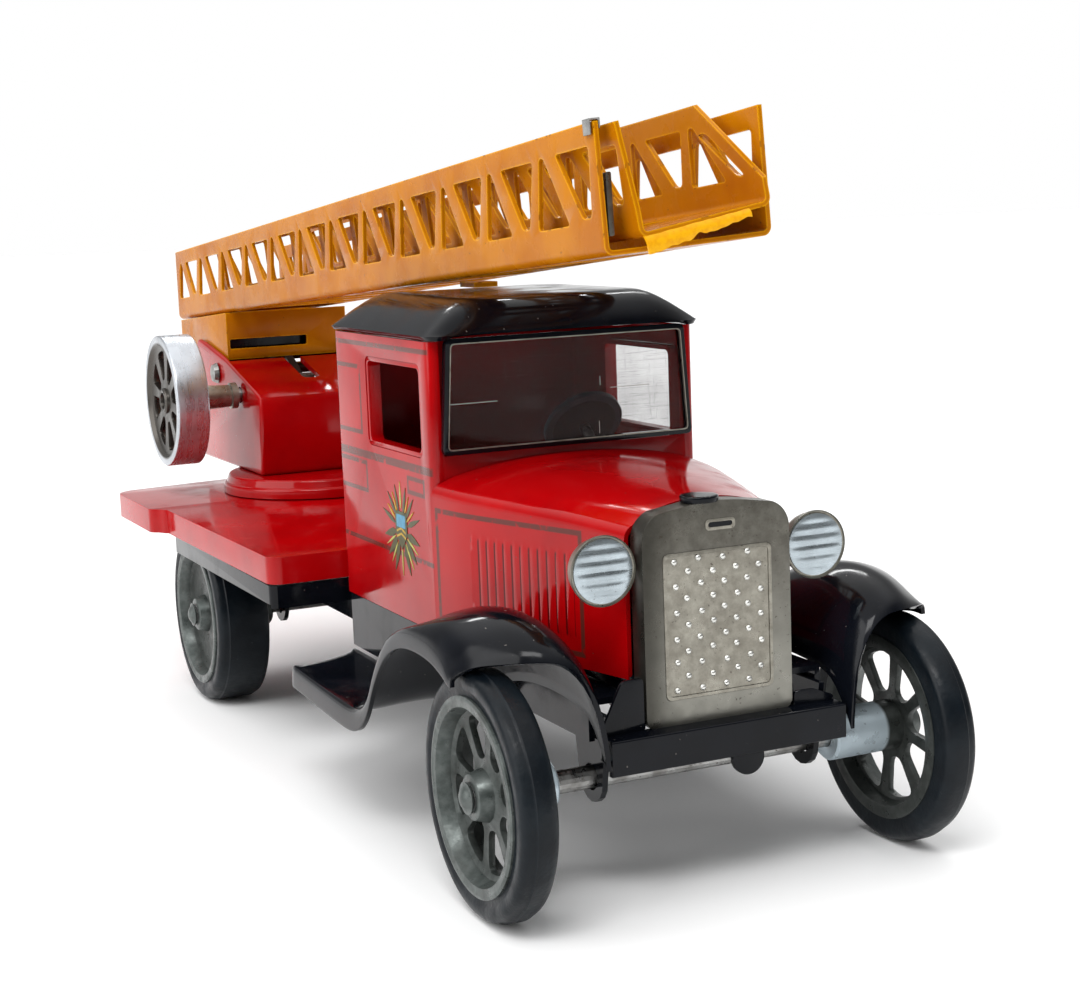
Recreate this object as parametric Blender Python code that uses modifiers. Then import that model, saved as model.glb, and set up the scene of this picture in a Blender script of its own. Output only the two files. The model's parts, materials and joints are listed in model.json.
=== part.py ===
"""Pressed-tin toy fire engine with a rotating, elevating, two-section ladder.

Every sub-part is its own closed body. Working figures are millimetres: +X is the vehicle's
left, the nose faces -Y and +Z is up. A "station" is a distance measured rearwards from the
front axle; to_world() turns stations into positions centred on the finished toy.
"""
import math

import bpy
import bmesh
from mathutils import Matrix, Vector

MM = 0.001
GAP = 0.35                     # clearance between neighbouring sub-parts
TIN = 0.9                      # sheet thickness of the pressed parts
WELD = 0.00001                 # merge distance in metres
WHEEL_STEPS, RIM_STEPS, SMALL_STEPS = 44, 32, 16   # facets of turned pieces

# Wheels and axles
WHEEL_R = 20.0
WHEELBASE = 162.5
FRONT_TREAD = (34.8, 41.0)     # inner and outer face of a front tyre, from the centre line
REAR_TREAD = (28.5, 40.2)
RIM_R = 15.9
AXLE_R = 1.9
FRAME_HALF = 21.5
FRAME_LOW, FRAME_TOP = 26.5, 33.2
EAR_X = (19.15, 20.15)         # faces of the axle-bearing plates

# Cab, hood and radiator
CAB_HALF = 26.6
CAB_FRONT, CAB_REAR = 46.0, 95.0
CAB_LOW, CAB_TOP = 35.3, 87.3
SILL_Z = 66.4                  # lower edge of the windscreen and side windows
ROOF_HALF = 27.2
ROOF_FRONT, ROOF_REAR = 43.4, 96.8
ROOF_EDGE, ROOF_CROWN = 88.3, 94.4
HOOD_FRONT = -2.6
RADIATOR_FRONT, RADIATOR_REAR = -7.0, -3.0
RADIATOR_HALF, RADIATOR_LOW = 13.4, 28.0
LAMP_X, LAMP_Z, LAMP_R = 19.4, 54.0, 5.65
LAMP_FRONT = -5.6
STEER_HUB = (10.4, 60.5, 68.8)
STEER_TILT = 52.0              # degrees between the column and the vertical

# Mudguards and running boards
GUARD_OUT = 43.0
BOARD_Z = 23.6
BOARD_REAR = 82.5

# Rear platform
BED_HALF, TAIL_HALF = 42.0, 46.0
BED_FRONT, TAIL_FRONT, TAIL_REAR = 96.3, 173.0, 210.0
BED_LOW, BED_TOP = 37.7, 43.2
TRAY_REAR = 171.5

# Turntable
TURN_STATION = 187.0
COLLAR_R, COLLAR_TOP = 24.0, 47.8
TURN_LOW = COLLAR_TOP + 0.4
CHEEK_X = 17.2                 # outer face of the turntable housing
SHAFT = (195.0, 66.5)          # station and height of the handwheel shaft
SHAFT_R = 1.7
HANDWHEEL_R = 15.6
MODULE = 0.5125                # gear module of the elevation drive
SECTOR_TEETH, PINION_TEETH = 60, 16
PIVOT_STATION = 214.0
PIVOT_R = 1.5

# Ladder
LADDER_SLOPE = math.radians(4.54)
LADDER_HALF, LADDER_WALL = 15.0, 0.8
LADDER_FRONT, LADDER_REAR = -1.0, 257.0
LADDER_LOW_AT_FRONT = 103.1
LADDER_TWIST = math.radians(4.0)
LOWER_BAYS, UPPER_BAYS = 12, 11
UPPER_HALF = 11.9
UPPER_CANT = math.radians(10.5)
UPPER_LENGTH = 228.0
UPPER_NOSES = (1.5, 17.0)      # set-back of the top front corner, right side and left side
NOSE_LOW = 4.5                 # height at which the slanted front edge starts
UPPER_FRONT = -3.4             # start of the upper section, along the ladder
POST_LEAN = 0.2                # forward lean of the truss posts, per millimetre of height
FIRST_BAY = 1.14               # length of the first bay, in bays

FRONT_STATION = -WHEEL_R
MID_STATION = 0.5 * (FRONT_STATION + LADDER_REAR)
LOWER_LENGTH = (LADDER_REAR - LADDER_FRONT) / math.cos(LADDER_SLOPE)
PIVOT_Z = SHAFT[1] + math.sqrt((MODULE * (SECTOR_TEETH + PINION_TEETH) / 2.0) ** 2
                               - (PIVOT_STATION - SHAFT[0]) ** 2)

PAINTS = {
    "red_paint": ((0.62, 0.004, 0.012), 0.16, 0.0),
    "black_paint": ((0.008, 0.009, 0.011), 0.14, 0.0),
    "yellow_paint": ((0.80, 0.36, 0.015), 0.34, 0.0),
    "dull_tin": ((0.20, 0.19, 0.165), 0.5, 0.6),
    "bright_tin": ((0.42, 0.46, 0.50), 0.3, 0.8),
    "rim_grey": ((0.10, 0.12, 0.11), 0.4, 0.2),
    "tyre_rubber": ((0.012, 0.013, 0.015), 0.5, 0.0),
    "steel": ((0.45, 0.45, 0.43), 0.3, 1.0),
    "window_clear": ((0.75, 0.80, 0.82), 0.06, 0.0),
    "screen_trim": ((0.015, 0.015, 0.017), 0.2, 0.2),
}


def clear_scene():
    for scene_object in list(bpy.data.objects):
        bpy.data.objects.remove(scene_object, do_unlink=True)


def new_collection(name):
    group = bpy.data.collections.new(name)
    bpy.context.scene.collection.children.link(group)
    return group


def make_paint(name):
    colour, roughness, metallic = PAINTS[name]
    paint = bpy.data.materials.new(name)
    paint.use_nodes = True
    shader = paint.node_tree.nodes["Principled BSDF"]
    shader.inputs["Base Color"].default_value = (*colour, 1.0)
    shader.inputs["Roughness"].default_value = roughness
    shader.inputs["Metallic"].default_value = metallic
    paint.diffuse_color = (*colour, 1.0)
    return paint


clear_scene()
PARTS = new_collection("toy_fire_engine")
CUTTERS = new_collection("cutters")
PAINT = {name: make_paint(name) for name in PAINTS}


# ---------------------------------------------------------------- placing

def to_world(x, station, z):
    return Vector((x, station - MID_STATION, z)) * MM


def along_x(a, b, depth):
    """Place a (station, z) outline extruded along X."""
    return to_world(depth, a, b)


def along_y(a, b, depth):
    """Place an (x, z) outline extruded along the stations."""
    return to_world(a, depth, b)


def along_z(a, b, depth):
    """Place an (x, station) outline extruded upwards."""
    return to_world(a, b, depth)


AXIS_TURN = {
    "X": Matrix.Rotation(math.radians(90), 4, "Y"),
    "Y": Matrix.Rotation(math.radians(-90), 4, "X"),
    "Z": Matrix.Identity(4),
}


# ---------------------------------------------------------------- mesh helpers

def close_up(data):
    """Weld a mesh and turn its faces outwards."""
    mesh = bmesh.new()
    mesh.from_mesh(data)
    bmesh.ops.remove_doubles(mesh, verts=mesh.verts, dist=WELD)
    bmesh.ops.recalc_face_normals(mesh, faces=mesh.faces)
    if mesh.calc_volume(signed=True) < 0.0:
        bmesh.ops.reverse_faces(mesh, faces=mesh.faces)
    mesh.to_mesh(data)
    mesh.free()


def plate(name, outlines, low, high, place):
    """Extrude flat outlines from low to high and put every point where place() says."""
    curve = bpy.data.curves.new(name + "_outline", "CURVE")
    curve.dimensions = "2D"
    curve.fill_mode = "BOTH"
    curve.extrude = 0.5 * (high - low)
    for outline in outlines:
        spline = curve.splines.new("POLY")
        spline.points.add(len(outline) - 1)
        for point, (a, b) in zip(spline.points, outline):
            point.co = (a, b, 0.0, 1.0)
        spline.use_cyclic_u = True
    drawn = bpy.data.objects.new(name + "_outline", curve)
    bpy.context.scene.collection.objects.link(drawn)
    data = bpy.data.meshes.new_from_object(
        drawn.evaluated_get(bpy.context.evaluated_depsgraph_get()))
    bpy.data.objects.remove(drawn, do_unlink=True)
    middle = 0.5 * (low + high)
    for vert in data.vertices:
        vert.co = place(vert.co.x, vert.co.y, vert.co.z + middle)
    close_up(data)
    return bpy.data.objects.new(name, data)


def block(name, x_range, station_range, z_range):
    """Rectangular block between pairs of limits."""
    low = to_world(x_range[0], station_range[0], z_range[0])
    high = to_world(x_range[1], station_range[1], z_range[1])
    mesh = bmesh.new()
    size = Matrix.Diagonal((*(high - low), 1.0))
    bmesh.ops.create_cube(mesh, size=1.0, matrix=Matrix.Translation((low + high) / 2) @ size)
    data = bpy.data.meshes.new(name)
    mesh.to_mesh(data)
    mesh.free()
    return bpy.data.objects.new(name, data)


def turned(name, profile, axis, centre, steps):
    """Turn a profile of (radius, distance along the axis) pairs with a Screw modifier.

    A profile that starts and ends on the axis is open; any other profile is a closed ring.
    """
    closed = profile[0][0] > 0.0
    loop = profile + [profile[0]]
    area = sum(r0 * a1 - r1 * a0 for (r0, a0), (r1, a1) in zip(loop[:-1], loop[1:]))
    points = profile if area < 0.0 else list(reversed(profile))
    edges = [(i, i + 1) for i in range(len(points) - 1)]
    if closed:
        edges.append((len(points) - 1, 0))
    data = bpy.data.meshes.new(name)
    data.from_pydata([(r * MM, 0.0, a * MM) for r, a in points], edges, [])
    part = bpy.data.objects.new(name, data)
    part.matrix_world = Matrix.Translation(to_world(*centre)) @ AXIS_TURN[axis]
    screw = part.modifiers.new("turn", "SCREW")
    screw.steps = steps
    screw.render_steps = steps
    screw.use_merge_vertices = True
    screw.merge_threshold = WELD
    return part


def sheet(name, rows, thickness):
    """Bend a grid through rows of points and thicken it on the side under the rows."""
    mesh = bmesh.new()
    across, along = len(rows[0]), len(rows)
    bmesh.ops.create_grid(mesh, x_segments=across - 1, y_segments=along - 1, size=0.5)
    mesh.verts.ensure_lookup_table()
    order = sorted(mesh.verts, key=lambda v: (round(v.co.y, 5), round(v.co.x, 5)))
    points = [point for row in rows for point in row]
    for vert, point in zip(order, points):
        vert.co = point
    data = bpy.data.meshes.new(name)
    mesh.to_mesh(data)
    mesh.free()
    part = bpy.data.objects.new(name, data)
    solid = part.modifiers.new("thickness", "SOLIDIFY")
    solid.thickness = thickness * MM
    solid.offset = -1.0
    solid.use_even_offset = True
    return part


def finish(part, paint, smooth_deg=32):
    """Give a sub-part its paint and shading and add it to the model."""
    PARTS.objects.link(part)
    part.data.materials.append(PAINT[paint])
    part.data.shade_smooth()
    if part.data.polygons:
        part.data.set_sharp_from_angle(angle=math.radians(smooth_deg))
    return part


def cut(part, cutter, operation="DIFFERENCE"):
    """Subtract a hidden cutter from a part, or add it with the operation UNION."""
    CUTTERS.objects.link(cutter)
    cutter.hide_render = True
    cutter.display_type = "WIRE"
    boolean = part.modifiers.new(cutter.name, "BOOLEAN")
    boolean.operation = operation
    boolean.solver = "EXACT"
    boolean.object = cutter
    return part


def bevel(part, width, segments=2, angle_deg=40):
    edge = part.modifiers.new("edge", "BEVEL")
    edge.width = width * MM
    edge.segments = segments
    edge.limit_method = "ANGLE"
    edge.angle_limit = math.radians(angle_deg)
    return part


def joint_empty(name, point, pieces):
    """Parent pieces that move together to an empty that stands on their joint axis."""
    empty = bpy.data.objects.new(name, None)
    empty.location = point
    PARTS.objects.link(empty)
    for piece in pieces:
        piece.parent = empty
        piece.matrix_parent_inverse = Matrix.Translation(-point)
    return empty


# ---------------------------------------------------------------- outlines

def circle(centre, radius, count=SMALL_STEPS):
    return [(centre[0] + radius * math.cos(2 * math.pi * k / count),
             centre[1] + radius * math.sin(2 * math.pi * k / count)) for k in range(count)]


def arc(centre, radius, start_deg, stop_deg, steps):
    points = []
    for k in range(steps + 1):
        angle = math.radians(start_deg + (stop_deg - start_deg) * k / steps)
        points.append((centre[0] + radius * math.cos(angle),
                       centre[1] + radius * math.sin(angle)))
    return points


def rectangle(x_range, y_range, radius, steps=3):
    """Rectangle with rounded corners, anticlockwise."""
    (x0, x1), (y0, y1) = x_range, y_range
    outline = []
    for cx, cy, start in ((x1 - radius, y0 + radius, -90), (x1 - radius, y1 - radius, 0),
                          (x0 + radius, y1 - radius, 90), (x0 + radius, y0 + radius, 180)):
        outline += arc((cx, cy), radius, start, start + 90, steps)
    return outline


def both_sides(half_outline):
    """Complete a half outline (x >= 0) with its mirror image."""
    return half_outline + [(-a, b) for a, b in reversed(half_outline) if a > 0.01]


def spoke_windows(centre, count, near, far, turn_deg=0.0):
    """Outlines of the openings between spokes; near and far are (radius, half angle)."""
    outlines = []
    for k in range(count):
        middle = 360.0 * (k + 0.5) / count + turn_deg
        outlines.append(arc(centre, near[0], middle - near[1], middle + near[1], 2)
                        + arc(centre, far[0], middle + far[1], middle - far[1], 3))
    return outlines


def smooth_rows(rows, steps):
    """Insert steps - 1 interpolated rows between each pair of rows (Catmull-Rom)."""
    smooth = []
    last = len(rows) - 1
    for i in range(last):
        neighbours = (rows[max(i - 1, 0)], rows[i], rows[i + 1], rows[min(i + 2, last)])
        for k in range(steps):
            t = k / steps
            smooth.append(tuple(
                0.5 * (2 * b + (c - a) * t + (2 * a - 5 * b + 4 * c - d) * t ** 2
                       + (3 * b - a - 3 * c + d) * t ** 3)
                for a, b, c, d in zip(*neighbours)))
    smooth.append(rows[last])
    return smooth


# ---------------------------------------------------------------- chassis and platform

def chassis_frame():
    """Inverted channel from nose to tail."""
    skin = 1.0
    section = both_sides([(FRAME_HALF - skin, FRAME_TOP - skin), (FRAME_HALF - skin, FRAME_LOW),
                          (FRAME_HALF, FRAME_LOW), (FRAME_HALF, FRAME_TOP)])
    frame = plate("chassis_frame", [section], RADIATOR_REAR + GAP, 206.0, along_y)
    return finish(frame, "black_paint")


def axle_ear(label, side, station):
    """Flat round-ended hanger inside the frame skirt; the axle runs through it."""
    radius = 4.1
    outline = [(station + 6.0, 31.0), (station - 6.0, 31.0)]
    outline += arc((station, WHEEL_R), radius, 180, 360, 8)
    faces = sorted((side * EAR_X[0], side * EAR_X[1]))
    ear = plate(label, [outline], faces[0], faces[1], along_x)
    bore = plate(label + "_bore", [circle((station, WHEEL_R), AXLE_R + GAP)],
                 faces[0] - 1, faces[1] + 1, along_x)
    return finish(cut(ear, bore), "black_paint")


def front_apron():
    """Angled cross member: a shelf under the radiator and a front with a hanging tow eye."""
    front, low, rear, top = -10.4, 22.5, -6.4, 27.6
    section = [(front, low), (front + 1.2, low), (front + 1.2, top - TIN),
               (rear, top - TIN), (rear, top), (front, top)]
    apron = plate("front_apron", [section], -21.4, 21.4, along_x)
    cut(apron, plate("tow_eye", [circle((3.0, 22.1), 2.9, 24)], front + 0.2, front + 1.0,
                     along_y), "UNION")
    return finish(apron, "black_paint")


def mudguard(label, side, reach):
    """Front mudguard and running board pressed from one sheet.

    reach carries the front tip of the outer lip further forwards.

    Each row is a cross-section from the outer lip over the crown to the inner wall: station
    and foot height of the lip, station and height of the crown, station, foot height and x
    of the inner wall, height of the lip, and how far the shoulders lie under the crown.
    """
    rows = [
        (1.5 - reach, 37.4 + 0.4 * reach, -9.6, 42.2, -11.0, 24.0, 21.9, 1.8, 0.6),
        (2.6 - 0.6 * reach, 37.5 + 0.4 * reach, -8.0, 44.6, -9.6, 24.0, 21.9, 2.0, 1.6),
        (5.0, 38.6, -2.5, 47.4, -5.0, 24.0, 22.0, 3.0, 1.8),
        (10.0, 39.9, 6.0, 48.5, 3.0, 24.0, 22.2, 3.3, 1.9),
        (17.5, 40.2, 16.0, 46.8, 14.0, 24.0, 22.6, 3.4, 1.8),
        (24.0, 39.2, 24.5, 43.2, 24.0, 24.0, 23.2, 3.4, 1.2),
        (30.5, 36.2, 31.0, 38.4, 31.0, 23.6, 23.9, 3.4, 0.5),
        (36.5, 30.0, 37.5, 31.8, 38.0, 22.8, 24.9, 3.6, 0.2),
        (41.0, 23.6, 43.0, 26.2, 44.0, 22.9, 25.8, 3.9, 0.1),
        (47.5, 19.6, 49.5, 23.9, 50.0, 23.3, 26.1, 4.2, 0.0),
        (60.0, 19.4, 61.0, 23.5, 62.0, 23.4, 26.1, 4.3, 0.0),
        (BOARD_REAR, 20.4, 86.5, 23.7, 93.5, 23.6, 26.1, 4.3, 0.0),
    ]
    grid = []
    for lip_y, lip_z, mid_y, top, in_y, foot, in_x, lip, drop in smooth_rows(rows, 2):
        rise = lip_z + lip
        section = [
            (GUARD_OUT, lip_y, lip_z),
            (GUARD_OUT, lip_y, lip_z + 0.55 * lip),
            (GUARD_OUT - 0.35, lip_y, rise),
            (GUARD_OUT - 2.2, lip_y + 0.3 * (mid_y - lip_y), 0.25 * rise + 0.75 * (top - drop)),
            (38.6, lip_y + 0.55 * (mid_y - lip_y), top - drop),
            (33.0, mid_y, top),
            (27.6, mid_y + 0.55 * (in_y - mid_y), top - drop * 0.7),
            (in_x + 0.8, in_y - 0.1 * (in_y - mid_y), top - drop - 0.42 * (top - drop - foot)),
            (in_x, in_y, foot),
        ]
        grid.append([to_world(side * x, y, z) for x, y, z in section])
    if side > 0:
        grid = [list(reversed(row)) for row in grid]
    return finish(sheet(label, grid, 0.8), "black_paint", 50)


def valance(label, side):
    """Upright plate between the running board and the foot of the cab."""
    faces = sorted((side * 25.2, side * 26.1))
    plate_block = block(label, faces, (50.5, 94.0), (BOARD_Z + 0.7, CAB_LOW - 0.4))
    return finish(plate_block, "black_paint")


def bed_outline(inset):
    """Plan of the platform: straight sides, a wider tail and a gently bowed rear edge."""
    half, tail = BED_HALF - inset, TAIL_HALF - inset
    front, step, rear = BED_FRONT + inset, TAIL_FRONT + inset, TAIL_REAR - inset
    outline = arc((half - 3.0, front + 3.0), 3.0, -90, 0, 3)
    outline += [(half, step - 1.0), (half + 0.6, step + 0.4), (tail - 1.2, step + 2.0),
                (tail, step + 4.0)]
    outline += arc((tail - 6.0, rear - 4.0), 6.0, 0, 75, 4)
    outline += [(26.0, rear + 4.4), (12.0, rear + 6.2), (0.0, rear + 6.8)]
    return both_sides(outline)


def bed_platform():
    """Red platform: a shallow tray turned upside down."""
    bed = plate("bed_platform", [bed_outline(0.0)], BED_LOW, BED_TOP, along_z)
    bevel(bed, 0.35, 2, 60)
    cut(bed, plate("bed_hollow", [bed_outline(TIN)], BED_LOW - 2.0, BED_TOP - TIN, along_z))
    cut(bed, plate("bed_bore", [circle((0.0, TURN_STATION), 2.0 + GAP)], 35.0, 50.0, along_z))
    return finish(bed, "red_paint")


def bed_tray():
    """Black tray under the platform, open behind and cut away over the rear wheels."""
    low, floor, top = 32.8, 33.6, BED_LOW - 0.3
    front = BED_FRONT + 0.4
    tray = block("bed_tray", (-41.9, 41.9), (front, TRAY_REAR), (low, top))
    cut(tray, block("tray_hollow", (-41.0, 41.0), (front + TIN, TRAY_REAR + 5),
                    (floor + TIN, top + 5)))
    cut(tray, block("tray_under", (-50, 50), (front + TIN, TRAY_REAR + 5), (low - 5, floor)))
    cut(tray, block("tray_notch", (-22.0, 22.0), (front - 5, front + 5), (low - 5, floor)))
    for side, label in ((-1, "right"), (1, "left")):
        cut(tray, block("tray_well_" + label, sorted((side * 27.0, side * 41.0)),
                        (138.0, TRAY_REAR + 5), (low - 5, top + 5)))
    return finish(tray, "black_paint")


def cab_floor():
    """Flat floor between the frame and the cab."""
    return finish(block("cab_floor", (-24.6, 24.6), (47.5, 93.5),
                        (FRAME_TOP + 0.4, CAB_LOW - 0.4)), "black_paint")


# ---------------------------------------------------------------- body work

def steer_matrix():
    """Frame of the steering column: its Z axis points up the column to the driver."""
    turn = Matrix.Rotation(math.radians(-STEER_TILT), 4, "X")
    return Matrix.Translation(to_world(*STEER_HUB)) @ turn


def on_column(a, b, depth):
    return steer_matrix() @ (Vector((a, b, depth)) * MM)


def cab_shell():
    """Four tin walls with open side windows and an open front above the sill."""
    wall = 1.1
    outer = rectangle((-CAB_HALF, CAB_HALF), (CAB_FRONT, CAB_REAR), 1.6)
    inner = rectangle((-CAB_HALF + wall, CAB_HALF - wall),
                      (CAB_FRONT + wall, CAB_REAR - wall), 0.8, 2)
    cab = plate("cab_shell", [outer], CAB_LOW, CAB_TOP, along_z)
    cut(cab, plate("cab_inside", [inner], CAB_LOW - 5, CAB_TOP + 5, along_z))
    cut(cab, plate("cab_windows", [rectangle((50.0, 77.8), (SILL_Z, 83.3), 1.3)], -40, 40,
                   along_x))
    cut(cab, block("cab_screen", (-24.4, 24.4), (CAB_FRONT - 5, CAB_FRONT + 4),
                   (SILL_Z + 0.6, CAB_TOP + 5)))
    cut(cab, plate("cab_column_bore", [circle((0, 0), 1.0 + GAP)], -28, -10, on_column))
    return finish(cab, "red_paint")


def roof_height(x, station):
    """Top of the roof: flat crown with rounded shoulders and rolled front and rear edges."""
    middle = 0.5 * (ROOF_FRONT + ROOF_REAR)
    half = 0.5 * (ROOF_REAR - ROOF_FRONT)
    across = max(0.0, 1.0 - abs(x / ROOF_HALF) ** 5) ** 0.9
    along = max(0.0, 1.0 - abs((station - middle) / half) ** 12) ** 0.8
    return ROOF_EDGE + (ROOF_CROWN - ROOF_EDGE) * across * along


def roof_narrowing(station):
    """Share of the full width that the roof keeps near its rounded plan corners."""
    corner = 3.0
    from_end = min(station - ROOF_FRONT, ROOF_REAR - station)
    short = max(0.0, corner - from_end)
    return (ROOF_HALF - corner + math.sqrt(corner ** 2 - short ** 2)) / ROOF_HALF


def cab_roof():
    """Crowned black roof, flush with the cab's sides and rolled over the windscreen."""
    stations = (ROOF_REAR, 96.5, 95.4, 93.0, 88.0, 70.1, 52.0, 47.2, 44.8, 43.7, ROOF_FRONT)
    half = (ROOF_HALF, 26.9, 25.8, 23.6, 20.0, 14.0)
    across = [-x for x in half] + [0.0] + list(reversed(half))
    rows = [[to_world(x * roof_narrowing(station), station, roof_height(x, station))
             for x in reversed(across)] for station in stations]
    return finish(sheet("cab_roof", rows, TIN), "black_paint", 50)


def screen_outline(inset):
    low, high = 67.3 + inset, 87.7 - inset
    return both_sides([(24.9 - inset, low), (23.7 - inset, high)])


def windshield_frame():
    frame = plate("windshield_frame", [screen_outline(0.0)], 44.2, 45.6, along_y)
    bevel(frame, 0.3, 1)
    cut(frame, plate("screen_opening", [screen_outline(1.7)], 40.0, 50.0, along_y))
    return finish(frame, "screen_trim")


def windshield_pane():
    return finish(plate("windshield_pane", [screen_outline(2.05)], 44.7, 45.2, along_y),
                  "window_clear")


def hood():
    """Engine cover, open underneath, widening from the radiator to the cab.

    Each row holds a station, half width, lower edge, corner height and crown height.
    """
    rows = [(HOOD_FRONT, 13.5, 35.6, 59.3, 62.6), (10.0, 17.2, 35.8, 60.2, 63.3),
            (24.0, 21.4, 36.0, 60.8, 64.0), (36.0, 24.7, 36.2, 61.2, 64.6),
            (CAB_FRONT - GAP, 26.3, 36.3, 61.5, 65.0)]
    grid = []
    for station, half, low, corner, crown in rows:
        rise = crown - corner
        section = [(half, low), (half, 0.5 * (low + corner)), (half, corner - 1.1),
                   (half - 0.4, corner - 0.2), (half - 1.4, corner + 0.15 * rise),
                   (half * 0.72, corner + 0.5 * rise), (half * 0.4, corner + 0.86 * rise),
                   (0.0, crown)]
        grid.append([to_world(x, station, z) for x, z in both_sides(section)])
    return finish(sheet("hood", grid, TIN), "red_paint", 40)


def radiator_outline(inset):
    edge = RADIATOR_HALF - inset
    return both_sides([(edge, RADIATOR_LOW + inset), (edge, 58.6), (edge - 0.6, 60.4),
                       (edge - 1.9, 61.8), (edge - 4.4, 62.8), (4.5, 63.8 - inset),
                       (0.0, 64.1 - inset)])


def radiator_shell():
    """Radiator surround pressed from dull sheet, with a sunken field for its core."""
    shell = plate("radiator_shell", [radiator_outline(0.0)], RADIATOR_FRONT, RADIATOR_REAR,
                  along_y)
    bevel(shell, 1.5, 3, 60)
    field = rectangle((-9.9, 9.9), (32.2, 55.8), 0.8, 2)
    cut(shell, plate("radiator_field", [field], RADIATOR_FRONT - 2, RADIATOR_FRONT + 0.6,
                     along_y))
    return finish(shell, "dull_tin")


def radiator_core():
    """Core plate in the surround's field."""
    outline = rectangle((-9.5, 9.5), (32.6, 55.4), 0.5, 2)
    return finish(plate("radiator_core", [outline], RADIATOR_FRONT - 0.3,
                        RADIATOR_FRONT + 0.25, along_y), "dull_tin")


def radiator_cap():
    profile = [(0.0, 65.1), (2.8, 65.05), (3.1, 64.8), (3.0, 64.45), (0.0, 64.45)]
    return finish(turned("radiator_cap", profile, "Z", (-1.2, -4.9, 0.0), SMALL_STEPS),
                  "dull_tin")


def headlight_shell(label, side):
    """Drum-shaped lamp body, hollowed at the front for its lens."""
    front = LAMP_FRONT
    profile = [(0.0, front + 1.3), (LAMP_R - 0.45, front + 1.3), (LAMP_R - 0.4, front),
               (LAMP_R, front + 0.1), (LAMP_R, front + 1.9), (LAMP_R - 1.4, front + 3.0),
               (0.0, front + 3.3)]
    return finish(turned(label, profile, "Y", (side * LAMP_X, 0.0, LAMP_Z), 24), "bright_tin")


def headlight_lens(label, side):
    front = LAMP_FRONT
    radius = LAMP_R - 0.8
    profile = [(0.0, front - 0.35), (radius * 0.6, front - 0.2), (radius, front + 0.15),
               (radius, front + 0.95), (0.0, front + 0.95)]
    return finish(turned(label, profile, "Y", (side * LAMP_X, 0.0, LAMP_Z), 24), "bright_tin")


def headlight_stay(label, side):
    """Short strip that carries a lamp by its back from the side of the engine cover."""
    reach = sorted((side * 15.3, side * (LAMP_X + 1.5)))
    stay = block(label, reach, (-1.9, -0.9), (LAMP_Z - 1.4, LAMP_Z + 1.4))
    return finish(stay, "black_paint")


# ---------------------------------------------------------------- steering

def steering_wheel():
    """Flat wheel with four broad spokes."""
    wheel = plate("steering_wheel", [circle((0, 0), 6.6, 28)], -0.45, 0.45, on_column)
    windows = spoke_windows((0, 0), 4, (2.4, 30), (5.3, 33))
    cut(wheel, plate("steering_windows", windows, -2.0, 2.0, on_column))
    return finish(wheel, "bright_tin")


def steering_column():
    return finish(plate("steering_column", [circle((0, 0), 1.0)], -30.0, -0.8, on_column),
                  "steel")


def steering_bush():
    """Collar behind the dash in which the column turns."""
    bush = plate("steering_bush", [circle((0, 0), 2.4)], -14.7, -11.7, on_column)
    cut(bush, plate("bush_bore", [circle((0, 0), 1.0 + GAP)], -20, -5, on_column))
    return finish(bush, "steel")


# ---------------------------------------------------------------- wheels

def tyre(label, side, tread, station):
    inner, outer = tread
    bore = RIM_R + 0.3
    profile = [(bore, inner), (WHEEL_R - 0.9, inner), (WHEEL_R, inner + 1.0),
               (WHEEL_R, outer - 1.0), (WHEEL_R - 0.9, outer), (bore, outer)]
    return finish(turned(label, [(r, side * a) for r, a in profile], "X",
                         (0.0, station, WHEEL_R), WHEEL_STEPS), "tyre_rubber")


def rim(label, side, tread, station, boss_end, spokes):
    """Disc rim with a boss that reaches in towards the axle bearing."""
    inner, outer = tread
    bore, boss, lip = AXLE_R + 0.3, 4.3, 13.2
    web_out, web_in = outer - 1.3, outer - 2.9
    profile = [(bore, boss_end), (boss, boss_end), (boss, web_in), (lip, web_in),
               (lip + 0.5, inner - 0.2), (RIM_R, inner - 0.2), (RIM_R, outer + 0.2),
               (lip + 0.7, outer + 0.2), (lip, web_out), (boss, web_out),
               (3.6, outer + 0.1), (bore, outer + 0.1)]
    wheel = turned(label, [(r, side * a) for r, a in profile], "X",
                   (0.0, station, WHEEL_R), RIM_STEPS)
    if spokes:
        windows = spoke_windows((station, WHEEL_R), spokes, (6.0, 12.0), (12.3, 14.5))
        low, high = sorted((side * (web_in - 1.5), side * (web_out + 1.5)))
        cut(wheel, plate(label + "_windows", windows, low, high, along_x))
    return finish(wheel, "rim_grey")


def axle(label, station, half_length):
    profile = [(0.0, half_length), (AXLE_R, half_length), (AXLE_R, -half_length),
               (0.0, -half_length)]
    return finish(turned(label, profile, "X", (0.0, station, WHEEL_R), SMALL_STEPS), "steel")


def axle_cap(label, side, station, outer):
    """Domed push-on cap over the end of an axle."""
    start = outer + 0.5
    profile = [(0.0, start), (2.5, start), (2.6, start + 0.4), (1.6, start + 1.1),
               (0.0, start + 1.3)]
    return finish(turned(label, [(r, side * a) for r, a in profile], "X",
                         (0.0, station, WHEEL_R), SMALL_STEPS), "bright_tin")


def wheelset(prefix, station, tread, boss_ends, spokes):
    """Two wheels pressed on one axle, which turns in the ears of the frame."""
    pieces = [axle(prefix + "_axle", station, tread[1] + 0.1)]
    for side, label, boss_end in ((-1, "_right", boss_ends[0]), (1, "_left", boss_ends[1])):
        pieces.append(tyre(prefix + "_tyre" + label, side, tread, station))
        pieces.append(rim(prefix + "_rim" + label, side, tread, station, boss_end, spokes))
        pieces.append(axle_cap(prefix + "_cap" + label, side, station, tread[1]))
    joint_empty(prefix + "_axle_joint", to_world(0.0, station, WHEEL_R), pieces)


# ---------------------------------------------------------------- turntable

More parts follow.
